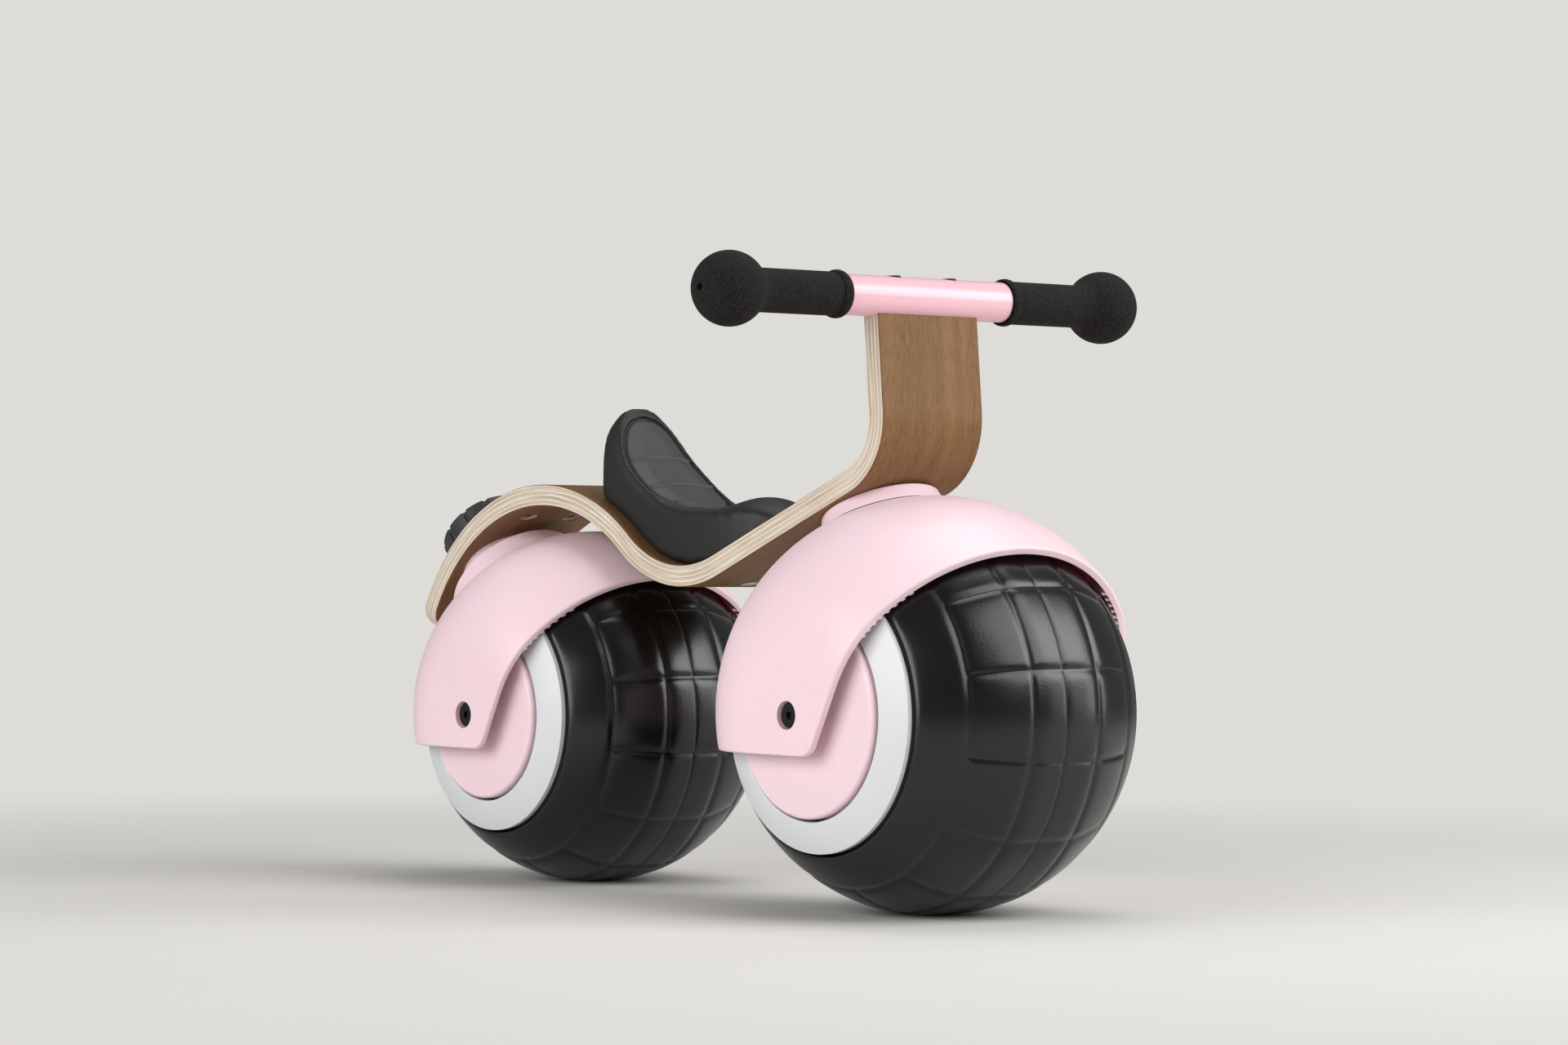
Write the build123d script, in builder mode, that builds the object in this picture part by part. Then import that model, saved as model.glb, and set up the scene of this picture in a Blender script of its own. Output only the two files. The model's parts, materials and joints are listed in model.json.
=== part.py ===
from build123d import *

import os
from dataclasses import dataclass
from math import atan2, cos, degrees, radians, sin, sqrt, tan

# Toddler balance bike: one bent plywood ribbon on two ball tyres.  Each ball runs in a helmet-shaped
# fender, which is also its fork and turns on a raked pivot, so the bike steers when the rider leans.
# X is forward, Y is the rider's left and Z is up.  The origin is on the floor, under the middle of the
# object's overall box.  All sizes are in millimetres and all angles in degrees.

# ---------------------------------------------------------------- overall layout
wheelbase = 303.0
front_ball_r = 110.5          # sphere that the front tyre follows
rear_ball_r = 100.5
tread_drop = 1.2              # how far the tread band lies inside the sphere

# ---------------------------------------------------------------- plywood ribbon
ply_thickness = 12.5
ply_width = 72.0
ply_edge_round = 1.2
hump_stand = 13.5             # rear fender's sphere to the plywood, over the rear wheel
hump_back = 6.0               # hump centre behind the rear axle
hump_rise = 1.2               # hump centre above the rear axle
tail_angle = 69.0             # how far the tail reaches down behind the hump's top
tail_corner_r = 17.0
valley_radius = 77.0          # upper face of the dip under the saddle
slope_angle = 22.1            # rise of the straight run in front of the saddle
bend_radius = 31.0            # inside of the front bend
bend_ahead = 41.3             # bend corner, ahead of the front pivot axis
upright_lean = 5.5            # backward lean of the upright
bar_rise = 85.3               # from the bend corner to the handlebar's height

# ---------------------------------------------------------------- handlebar
bar_d = 22.2
bar_core_d = 16.0
bar_core_wall = 1.5
bar_forward = 1.2             # bar axis ahead of the middle of the plywood
sleeve_half = 57.5
grip_d = 23.8
grip_flange_d = 26.4
grip_flange_w = 5.5
grip_ball_d = 40.7
grip_ball_y = 134.0
grip_end_hole_d = 4.0
grip_flange_r = 1.2
grip_flange_neck = 2.0
core_end_cover = 4.0          # core tube's end short of the ball's middle
bar_screw_spacing = 40.0
bar_screw_d = 5.0
bar_screw_end = 8.0           # screw's end beyond the barrel nut's axis
bar_screw_drop = 30.0         # barrel nuts below the bar's axis
bar_head_d = 9.5
bar_head_h = 2.8
bar_head_sink = 1.4
bar_socket_af = 3.0
bar_socket_depth = 1.68
barrel_nut_d = 10.0
barrel_nut_l = 10.3
barrel_nut_sink = 0.5
barrel_hole_l = 11.0

# ---------------------------------------------------------------- saddle
saddle_width = 58.0
saddle_dish_r = 64.0          # hollow of the seat and the front of the backrest
saddle_dish_back = 9.0        # its centre behind the valley's centre
saddle_dish_depth = 29.5      # seat surface above the plywood at the bottom of the dip
saddle_back_t = 15.0          # backrest's thickness near its top
saddle_back_round = 8.25      # its upper rear corner
saddle_back_lean = 4.5        # how far the backrest's rear face slopes out at its foot
saddle_back_rise = -2.5       # top of the backrest above the hollow's centre
saddle_nose_angle = 20.0      # where the hollow turns over into the nose
saddle_top_angle = 80.0       # where the hollow ends at the top of the backrest
saddle_nose_run = 73.0        # radius of the rise to the nose
saddle_nose_r = 28.0
saddle_nose_flat = 4.0        # straight end of the nose, seen from above
saddle_rear_corner = 14.0
saddle_screw_d = 5.0
saddle_screw_bite = 12.0
saddle_screw_angles = (-14, 12)
insert_angle = -19.3          # inserts in the hump's underside, from its top
insert_spacing = 32.0
insert_d = 9.0
insert_hole_d = 4.5
insert_length = 7.0
insert_sink = 1.6
insert_mouth_d = 11.0

# ---------------------------------------------------------------- fenders
fender_gap = 3.3              # tyre to the inside of the fender
front_fender_wall = 4.0
rear_fender_wall = 3.2
front_leg_half = 103.0        # flat outer faces of the legs, from the middle plane
rear_leg_half = 95.5
front_leg_blend_r = 60.0      # round between the sphere and the flat of the leg
rear_leg_blend_r = 54.5
front_leg_drop = 21.5         # bottom edge below the axle
rear_leg_drop = 19.5
front_leg_reach = 17.5        # front corner of the leg, ahead of the axle
rear_leg_reach = 15.9
front_knee_rise = 42.4        # end of the leg's straight front edge, above the axle
rear_knee_rise = 38.6
leg_corner_r = 11.0
leg_slant = 26.6              # lean of the leg's front edge
rim_angle = 40.3              # front rim at the crown, ahead of the vertical
rim_round = 1.4
leg_boss_d = 24.0
leg_boss_depth = 9.0
comb_teeth = 8                # short ribs inside the rim, above each leg
comb_pitch = 3.6
comb_tooth_t = 1.4
comb_tooth_h = 1.9
comb_tooth_l = 9.0
comb_inset = 0.6              # teeth behind the rim's edge

# ---------------------------------------------------------------- raked pivots
front_pivot_tilt = slope_angle
rear_pivot_tilt = 45.7
front_collar_r = 32.8
rear_collar_r = 41.0
front_collar_stand = 3.3      # fender sphere to the plywood, along the pivot axis
rear_collar_stand = 6.0       # fender sphere to the collar's flat rim
rear_pedestal_r = 29.0
collar_flare = 2.6
collar_round = 1.6
collar_gap = 0.35
steer_limit = 15.0
king_pin_d = 8.0
king_head_d = 19.0
king_head_h = 3.4
king_head_sink = 0.2          # head's lower face above the inside of the fender
king_pin_end = 0.8            # pin's end above its nut
king_pin_chamfer = 0.6
pivot_boss_d = 27.0
thrust_washer_t = 1.0
thrust_washer_inset = 0.5     # its edge inside the boss's edge
bush_wall = 2.0
pivot_washer_d = 22.0
pivot_washer_t = 1.6
pivot_nut_af = 13.0
pivot_nut_h = 4.0
stop_radius = 21.0
stop_d = 5.0
stop_height = 2.6
collar_screw_radius = 23.5
collar_screw_angles = (60, 180, 300)
collar_screw_d = 3.5
collar_screw_bite = 7.5       # into the plywood
collar_screw_sink = 0.4
stop_clear = 0.3
cap_radius = 28.5
cap_height = 17.5
cap_wall = 3.0
cap_flutes = 12
cap_flute_d = 3.0

# ---------------------------------------------------------------- wheels
front_ring_r = 74.3           # white ring's outer radius
rear_ring_r = 67.5
ring_width = 17.4
ring_crown = 0.5
ring_edge_r = 0.8
disc_gap = 1.5
disc_skin = 2.5
disc_round = 2.4
front_disc_half = 90.6
rear_disc_half = 82.7
tyre_wall = 14.0
hub_wall = 3.0
hub_plate_sink = 2.4          # hub's end plate below the tyre's side
hub_rib_count = 6
hub_rib_t = 2.4
hub_rib_foot = 0.25           # where the ribs begin, between the wheel's middle and its end plate
hub_rib_root = 1.0            # how far they run into the hub's walls
bearing_od = 22.0
bearing_id = 8.0
bearing_w = 7.0
bearing_step = 2.0            # shoulder that the bearing sits against
spacer_od = 13.0
axle_screw_d = 5.0
axle_screw_length = 16.0
axle_head_d = 14.0
axle_head_h = 3.0
axle_head_round = 0.9
axle_head_sink = 2.0
axle_socket_af = 4.0
axle_socket_depth = 1.8
axle_recess_d = 15.4

# ---------------------------------------------------------------- fits
run_fit = 0.05                # radial clearance of a turning fit
seat_gap = 0.3                # a soft piece to what it lies on
part_gap = 0.2                # two moulded pieces side by side

os.makedirs("parts", exist_ok=True)


# ================================================================ frame of reference
front_fender_r = front_ball_r + fender_gap + front_fender_wall
rear_fender_r = rear_ball_r + fender_gap + rear_fender_wall
hump_radius = rear_fender_r + hump_stand + ply_thickness
tail_reach = wheelbase + hump_back + hump_radius * sin(radians(tail_angle))
front_x = (tail_reach - front_ball_r + tread_drop) / 2
rear_x = front_x - wheelbase
front_z = front_ball_r - tread_drop
rear_z = rear_ball_r - tread_drop


def polar(angle, length):
    """Point at an angle in front of the vertical, as (x, z)."""
    return length * sin(radians(angle)), length * cos(radians(angle))


def save(solid, label):
    """Name a finished piece and write it."""
    solid.label = label
    export_step(solid, f"parts/{label}.step")


@dataclass(frozen=True)
class WheelSet:
    """Sizes that differ between the front and the rear wheel and its pivot."""

    name: str
    x: float
    z: float
    ball_r: float
    wall: float
    leg_half: float
    leg_blend: float
    leg_drop: float
    leg_reach: float
    knee_rise: float
    ring_r: float
    disc_half: float
    tilt: float
    collar_r: float
    collar_top: float         # flat rim of the collar, from the ball's centre
    seat: float               # what the thrust washer runs against
    ply_low: float            # plywood's lower face along the axis
    ply_high: float

    @property
    def fender_r(self):
        return self.ball_r + fender_gap + self.wall

    @property
    def plate(self):
        """Outer face of the hub's end plate, from the middle plane."""
        return sqrt(self.ball_r**2 - self.ring_r**2) - hub_plate_sink

    @property
    def tread_half(self):
        return sqrt(self.ball_r**2 - (self.ball_r - tread_drop) ** 2)

    @property
    def centre(self):
        return Vector(self.x, 0, self.z)

    @property
    def axle_axis(self):
        return Axis((self.x, 0, self.z), (0, 1, 0))

    def axle_distance(self, point):
        return sqrt((point.X - self.x) ** 2 + (point.Z - self.z) ** 2)

    @property
    def section(self):
        """Plane through the axle, with x as the radius and y along the axle."""
        return Plane(origin=(self.x, 0, self.z), x_dir=(1, 0, 0), z_dir=(0, 0, 1))

    @property
    def side(self):
        """Side view through the axle: x forward, y up."""
        return Plane(origin=(self.x, 0, self.z), x_dir=(1, 0, 0), z_dir=(0, -1, 0))

    def pivot(self, height=0.0):
        """Plane square to the pivot axis, at a height from the ball's centre."""
        dx, dz = polar(-self.tilt, 1)
        point = (self.x + dx * height, 0, self.z + dz * height)
        return Plane(origin=point, x_dir=(dz, 0, -dx), z_dir=(dx, 0, dz))

    @property
    def pivot_section(self):
        """Plane that holds the pivot axis: x is the radius and y runs along the axis."""
        dx, dz = polar(-self.tilt, 1)
        return Plane(origin=(self.x, 0, self.z), x_dir=(dz, 0, -dx), z_dir=(0, -1, 0))

    @property
    def pivot_axis(self):
        dx, dz = polar(-self.tilt, 1)
        return Axis((self.x, 0, self.z), (dx, 0, dz))


# ================================================================ plywood ribbon, in side view
# The upper face is drawn as one bent line, from the tail to the handlebar.  The slope lies square to the
# front pivot, the hump is an arc round the rear wheel, and the valley touches both.
slope_low = front_fender_r + front_collar_stand
slope_high = slope_low + ply_thickness

hump_x = rear_x - hump_back
hump_z = rear_z + hump_rise
slope_dir = (cos(radians(slope_angle)), sin(radians(slope_angle)))
slope_up = (-slope_dir[1], slope_dir[0])


def on_slope(along, height):
    """Point beside the front pivot axis: along the slope and square to it."""
    return (
        front_x + slope_dir[0] * along + slope_up[0] * height,
        front_z + slope_dir[1] * along + slope_up[1] * height,
    )


def valley_start():
    """How far behind the front pivot the slope runs into the valley."""
    x0, z0 = on_slope(0, slope_high + valley_radius)
    dx, dz = x0 - hump_x, z0 - hump_z
    half = slope_dir[0] * dx + slope_dir[1] * dz
    reach = hump_radius + valley_radius
    return -half + sqrt(half**2 - dx**2 - dz**2 + reach**2)


slope_rear = valley_start()
valley_x, valley_z = on_slope(slope_rear, slope_high + valley_radius)
fall_angle = degrees(atan2(valley_x - hump_x, valley_z - hump_z))
bend_turn = 90 + upright_lean - slope_angle
bend_tangent = bend_radius * tan(radians(bend_turn / 2))
corner_x, corner_z = on_slope(bend_ahead, slope_high)
upright_dir = (-sin(radians(upright_lean)), cos(radians(upright_lean)))
upright_ahead = (upright_dir[1], -upright_dir[0])
bar_offset = ply_thickness / 2 + bar_forward
bar_x = corner_x + upright_dir[0] * bar_rise + upright_ahead[0] * bar_offset
bar_z = corner_z + upright_dir[1] * bar_rise + upright_ahead[1] * bar_offset


def hump_point(angle, radius=hump_radius):
    dx, dz = polar(angle, radius)
    return hump_x + dx, hump_z + dz


def valley_point(angle, radius=valley_radius):
    dx, dz = polar(angle, radius)
    return valley_x + dx, valley_z - dz


def up_the_bend(length):
    return corner_x + upright_dir[0] * length, corner_z + upright_dir[1] * length


def seat_line(lift=0.0):
    """Hump, valley and slope of the plywood's upper face, raised square to themselves by lift."""
    hump_r = hump_radius + lift
    valley_r = valley_radius - lift
    slope_end = on_slope(bend_ahead - bend_tangent, slope_high + lift)
    hump = ThreePointArc(hump_point(-tail_angle, hump_r), hump_point(0, hump_r), hump_point(fall_angle, hump_r))
    valley = ThreePointArc(hump @ 1, valley_point(0, valley_r), valley_point(slope_angle, valley_r))
    return [hump, valley, Line(valley @ 1, slope_end)]


def ribbon_line(lift=0.0):
    """Whole bent line of the plywood, from the tail to the handlebar."""
    lines = seat_line(lift)
    bend_r = bend_radius - lift
    up_x, up_z = up_the_bend(bend_tangent)
    top_x, top_z = up_the_bend(bar_rise)
    back = (-upright_ahead[0] * lift, -upright_ahead[1] * lift)
    bend_x, bend_z = on_slope(bend_ahead - bend_tangent, slope_high + bend_radius)
    middle = radians(90 - slope_angle - bend_turn / 2)
    bend_mid = (bend_x + bend_r * cos(middle), bend_z - bend_r * sin(middle))
    bend = ThreePointArc(lines[-1] @ 1, bend_mid, (up_x + back[0], up_z + back[1]))
    upright = Line(bend @ 1, (top_x + back[0], top_z + back[1]))
    return lines + [bend, upright]


front = WheelSet(
    name="front",
    x=front_x,
    z=front_z,
    ball_r=front_ball_r,
    wall=front_fender_wall,
    leg_half=front_leg_half,
    leg_blend=front_leg_blend_r,
    leg_drop=front_leg_drop,
    leg_reach=front_leg_reach,
    knee_rise=front_knee_rise,
    ring_r=front_ring_r,
    disc_half=front_disc_half,
    tilt=front_pivot_tilt,
    collar_r=front_collar_r,
    collar_top=slope_low,
    seat=slope_low,
    ply_low=slope_low,
    ply_high=slope_high,
)


def rear_ply_height(radius):
    """Where the rear pivot axis meets a circle about the hump's centre."""
    dx, dz = polar(-rear_pivot_tilt, 1)
    half = hump_back * dx - hump_rise * dz
    return -half + sqrt(half**2 - hump_back**2 - hump_rise**2 + radius**2)


rear = WheelSet(
    name="rear",
    x=rear_x,
    z=rear_z,
    ball_r=rear_ball_r,
    wall=rear_fender_wall,
    leg_half=rear_leg_half,
    leg_blend=rear_leg_blend_r,
    leg_drop=rear_leg_drop,
    leg_reach=rear_leg_reach,
    knee_rise=rear_knee_rise,
    ring_r=rear_ring_r,
    disc_half=rear_disc_half,
    tilt=rear_pivot_tilt,
    collar_r=rear_collar_r,
    collar_top=rear_fender_r + rear_collar_stand,
    seat=rear_fender_r + front_collar_stand,
    ply_low=rear_ply_height(hump_radius - ply_thickness),
    ply_high=rear_ply_height(hump_radius),
)
wheel_sets = (front, rear)

# ================================================================ king pins and their hardware
bush_r = king_pin_d / 2 + run_fit + bush_wall
pin_bore_r = king_pin_d / 2 + run_fit


def head_top(w):
    """Upper face of the king pin's head, in its pocket under the fender."""
    return w.fender_r - w.wall + king_head_sink + king_head_h


def nut_top(w):
    return w.ply_high + run_fit + pivot_washer_t + pivot_nut_h


def make_king_pin(w):
    """Bolt that the fender turns with: a low head inside the fender, a shank up through the plywood."""
    with BuildPart() as king_pin:
        with BuildSketch(w.pivot(head_top(w) - king_head_h)):
            Circle(king_head_d / 2)
        extrude(amount=king_head_h)
        chamfer(king_pin.edges().sort_by(w.pivot_axis)[0], king_pin_end)
        with BuildSketch(w.pivot(head_top(w))):
            Circle(king_pin_d / 2)
        extrude(amount=nut_top(w) + king_pin_end - head_top(w))
        chamfer(king_pin.edges().sort_by(w.pivot_axis)[-1], king_pin_chamfer)
    save(king_pin.part, f"{w.name}_king_pin")


def make_pivot_ring(w, label, low, high, outer_r, inner_r):
    """Plain ring round the pivot axis, such as a washer or a bush."""
    with BuildPart() as ring:
        with BuildSketch(w.pivot(low)):
            Circle(outer_r)
            Circle(inner_r, mode=Mode.SUBTRACT)
        extrude(amount=high - low)
    save(ring.part, f"{w.name}_{label}")


def make_pivot_nut(w):
    with BuildPart() as pivot_nut:
        with BuildSketch(w.pivot(w.ply_high + run_fit + pivot_washer_t)):
            RegularPolygon(pivot_nut_af / 2, 6, major_radius=False)
            Circle(king_pin_d / 2, mode=Mode.SUBTRACT)
        extrude(amount=pivot_nut_h)
    save(pivot_nut.part, f"{w.name}_pivot_nut")


thrust_washer_r = pivot_boss_d / 2 - thrust_washer_inset

for w in wheel_sets:
    make_king_pin(w)
    make_pivot_ring(w, "thrust_washer", w.seat - thrust_washer_t, w.seat - run_fit, thrust_washer_r, pin_bore_r)
    make_pivot_ring(w, "pivot_bush", w.seat, w.ply_high, bush_r, pin_bore_r)
    washer_low = w.ply_high + run_fit
    make_pivot_ring(w, "pivot_washer", washer_low, washer_low + pivot_washer_t, pivot_washer_d / 2, king_pin_d / 2)
    make_pivot_nut(w)


# ================================================================ pivot collars
# The pink collar under the plywood is cupped to the fender's sphere.  A lug on the fender runs in an arc
# slot in the collar, and the slot's ends are the steering stops.


def collar_under(w, radius):
    """Height of the collar's cupped underside at a radius from the pivot axis."""
    return sqrt((w.fender_r + collar_gap) ** 2 - radius**2)


def lug_top(w):
    return sqrt(w.fender_r**2 - stop_radius**2) + stop_height


def screw_low(w):
    return collar_under(w, collar_screw_radius) + collar_screw_sink


def screw_high(w):
    return w.ply_low + collar_screw_bite


def make_collar(w):
    """Cupped ring under the plywood, with the stop slot and the pockets for its screws."""
    bore = pivot_boss_d / 2 + part_gap
    base = w.collar_r + collar_flare
    arc_mid = (bore + base) / 2
    with BuildLine() as stop_line:
        CenterArc((0, 0), stop_radius, -steer_limit, 2 * steer_limit)
    with BuildPart() as collar:
        with BuildSketch(w.pivot_section) as shape:
            with BuildLine():
                inside = Polyline((bore, collar_under(w, bore)), (bore, w.collar_top), (w.collar_r, w.collar_top))
                Line(inside @ 1, (base, collar_under(w, base)))
                ThreePointArc(
                    (base, collar_under(w, base)),
                    (arc_mid, collar_under(w, arc_mid)),
                    (bore, collar_under(w, bore)),
                )
            make_face()
            fillet(shape.vertices().sort_by(Axis.X)[-2:].sort_by(w.pivot_axis)[-1], collar_round)
        revolve(axis=w.pivot_axis)
        with BuildSketch(w.pivot(w.fender_r / 2)):
            SlotArc(stop_line.wires()[0], stop_d + 2 * stop_clear)
        extrude(amount=lug_top(w) + stop_clear - w.fender_r / 2, mode=Mode.SUBTRACT)
        with BuildSketch(w.pivot(w.fender_r / 2)):
            with PolarLocations(collar_screw_radius, len(collar_screw_angles), collar_screw_angles[0]):
                Circle(collar_screw_d / 2)
        extrude(amount=w.fender_r, mode=Mode.SUBTRACT)
        with BuildSketch(w.pivot(w.fender_r / 2)):
            with PolarLocations(collar_screw_radius, len(collar_screw_angles), collar_screw_angles[0]):
                Circle(collar_screw_d)
        extrude(amount=screw_low(w) + collar_screw_d / 2 - w.fender_r / 2, mode=Mode.SUBTRACT)
    save(collar.part, f"{w.name}_pivot_collar")


def make_pedestal(w):
    """Pad that fills from the collar's flat rim to the hump's curved underside, spigoted in the collar."""
    spigot_r = pivot_boss_d / 2
    with BuildPart() as pedestal:
        with BuildSketch(w.pivot_section):
            with BuildLine():
                Polyline(
                    (bush_r, w.seat),
                    (spigot_r, w.seat),
                    (spigot_r, w.collar_top),
                    (rear_pedestal_r, w.collar_top),
                    (rear_pedestal_r, w.ply_high),
                    (bush_r, w.ply_high),
                    close=True,
                )
            make_face()
        revolve(axis=w.pivot_axis)
        with BuildSketch(Plane.XZ):
            with Locations((hump_x, hump_z)):
                Circle(hump_radius - ply_thickness)
        extrude(amount=ply_width, both=True, mode=Mode.INTERSECT)
        with BuildSketch(w.pivot(w.fender_r / 2)):
            with PolarLocations(collar_screw_radius, len(collar_screw_angles), collar_screw_angles[0]):
                Circle(collar_screw_d / 2)
        extrude(amount=w.fender_r, mode=Mode.SUBTRACT)
    save(pedestal.part, f"{w.name}_pivot_pedestal")


def make_collar_screws(w):
    """Pan-head wood screws that hold the collar up to the plywood, as one group."""
    with BuildPart() as screws:
        with BuildSketch(w.pivot(screw_low(w))):
            with PolarLocations(collar_screw_radius, len(collar_screw_angles), collar_screw_angles[0]):
                Circle(collar_screw_d)
        extrude(amount=collar_screw_d / 2)
        with BuildSketch(w.pivot(screw_low(w))):
            with PolarLocations(collar_screw_radius, len(collar_screw_angles), collar_screw_angles[0]):
                Circle(collar_screw_d / 2)
        extrude(amount=screw_high(w) - screw_low(w))
    save(screws.part, f"{w.name}_collar_screws")


for w in wheel_sets:
    make_collar(w)
    make_collar_screws(w)
make_pedestal(rear)


# ================================================================ fenders
# Each fender is a moulded helmet: a sphere flattened at the two legs, cut by one side-view outline.
def helmet_face(w, inset):
    """Half section of the fender's skin, inset from its outer face."""
    skin_r = w.fender_r - inset
    flat = w.leg_half - inset
    flat_r = sqrt(skin_r**2 - flat**2)
    with BuildSketch() as face:
        with BuildLine():
            Polyline((flat_r, flat), (0, flat), (0, -flat), (flat_r, -flat))
            ThreePointArc((flat_r, -flat), (skin_r, 0), (flat_r, flat))
        make_face()
        corners = [corner for corner in face.vertices() if corner.X > flat_r / 2]
        fillet(corners, w.leg_blend - inset)
    return face.sketch


def leg_points(w):
    """Side view of the leg's front edge: its foot, its knee, and where the rim ends at the crown."""
    knee = (w.leg_reach + (w.knee_rise + w.leg_drop) * tan(radians(leg_slant)), w.knee_rise)
    return (w.leg_reach, -w.leg_drop), knee, polar(rim_angle, w.fender_r)


def rim_curve(knee, rim):
    """Curve of the rim in side view, from the knee of the leg up to the crown."""
    return TangentArc(knee, rim, tangent=polar(leg_slant, 1))


def helmet_outline(w):
    """Side view of what stays of the sphere: the front rim, the leg and the level lower edge."""
    far = 2 * w.fender_r
    foot, knee, rim = leg_points(w)
    with BuildSketch() as outline:
        with BuildLine():
            Polyline((-far, foot[1]), foot, knee)
            rim_line = rim_curve(knee, rim)
            beyond = rim_line @ 1 + (rim_line % 1) * w.fender_r / 2
            Polyline(rim_line @ 1, beyond, (beyond.X, far), (-far, far), (-far, foot[1]))
        make_face()
        fillet(outline.vertices().sort_by_distance((foot[0], foot[1], 0))[0], leg_corner_r)
    return outline.sketch


def comb_outline(w):
    """Side view of the comb: short strips square to the rim, from the knee upwards."""
    foot, knee, rim = leg_points(w)
    with BuildLine(mode=Mode.PRIVATE):
        rim_line = rim_curve(knee, rim)
    with BuildSketch() as teeth:
        for number in range(comb_teeth):
            place = rim_line @ (number * comb_pitch / rim_line.length)
            along = rim_line % (number * comb_pitch / rim_line.length)
            back = Vector(-along.Y, along.X)
            middle = place + back * (comb_inset + comb_tooth_l / 2)
            with Locations(Location((middle.X, middle.Y), degrees(atan2(back.Y, back.X)))):
                Rectangle(comb_tooth_l, comb_tooth_t)
    return teeth.sketch


def outer_rim_edges(w, shell, core):
    """Cut edges of the outer skin, which get the rim's round.  The skin's own circles are left out."""
    found = []
    for edge in shell.edges():
        reach = [w.axle_distance(edge @ t) for t in (0.1, 0.5, 0.9)]
        level = edge.geom_type == GeomType.CIRCLE and max(reach) - min(reach) < run_fit
        if not level and core.distance_to(edge @ 0.5) > w.wall * 0.75:
            found.append(edge)
    return found


def make_fender(w):
    wall_in = w.fender_r - w.wall
    boss_in = w.leg_half - leg_boss_depth
    recess = w.leg_half - axle_head_sink - axle_head_h
    with BuildPart() as core:
        with BuildSketch(w.section):
            add(helmet_face(w, w.wall))
        revolve(axis=w.axle_axis)

    # the comb's strips keep only what lies in a thin band against the inside of the wall
    with BuildPart() as comb:
        with BuildSketch(w.section):
            add(helmet_face(w, w.wall / 2))
        revolve(axis=w.axle_axis)
        with BuildSketch(w.section):
            add(helmet_face(w, w.wall + comb_tooth_h))
        revolve(axis=w.axle_axis, mode=Mode.SUBTRACT)
        with BuildSketch(w.side):
            add(comb_outline(w))
        extrude(amount=w.fender_r, both=True, mode=Mode.INTERSECT)

    with BuildPart() as fender:
        with BuildSketch(w.section):
            add(helmet_face(w, 0))
        revolve(axis=w.axle_axis)
        add(core.part, mode=Mode.SUBTRACT)
        with BuildSketch(w.side):
            add(helmet_outline(w))
        extrude(amount=w.fender_r, both=True, mode=Mode.INTERSECT)
        fillet(outer_rim_edges(w, fender.part, core.part), rim_round)
        add(comb.part)

        # bosses that the axle passes through, inside the legs
        for turn in (0, 180):
            leg = Plane(origin=w.centre, x_dir=(1, 0, 0), z_dir=(0, 1, 0)).rotated((turn, 0, 0))
            with BuildSketch(leg.offset(boss_in)):
                Circle(leg_boss_d / 2)
            extrude(amount=leg_boss_depth - w.wall / 2)
            with BuildSketch(leg.offset(boss_in)):
                Circle(bearing_id / 2 + run_fit)
            extrude(amount=leg_boss_depth, mode=Mode.SUBTRACT)
            with BuildSketch(leg.offset(recess)):
                Circle(axle_recess_d / 2)
            extrude(amount=leg_boss_depth, mode=Mode.SUBTRACT)

        # pivot boss, with the pocket for the king pin's head, and the steering lug
        with BuildSketch(w.pivot(wall_in)):
            Circle(pivot_boss_d / 2)
        extrude(amount=w.seat - thrust_washer_t - run_fit - wall_in)
        with BuildSketch(w.pivot(wall_in)):
            with Locations((stop_radius, 0)):
                Circle(stop_d / 2)
        extrude(amount=lug_top(w) - wall_in)
        with BuildSketch(w.pivot(w.ball_r / 2)):
            Circle(king_head_d / 2 + part_gap)
        extrude(amount=head_top(w) - w.ball_r / 2, mode=Mode.SUBTRACT)
        with BuildSketch(w.pivot(w.ball_r / 2)):
            Circle(pin_bore_r)
        extrude(amount=w.fender_r, mode=Mode.SUBTRACT)
    save(fender.part, f"{w.name}_fender")


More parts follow.
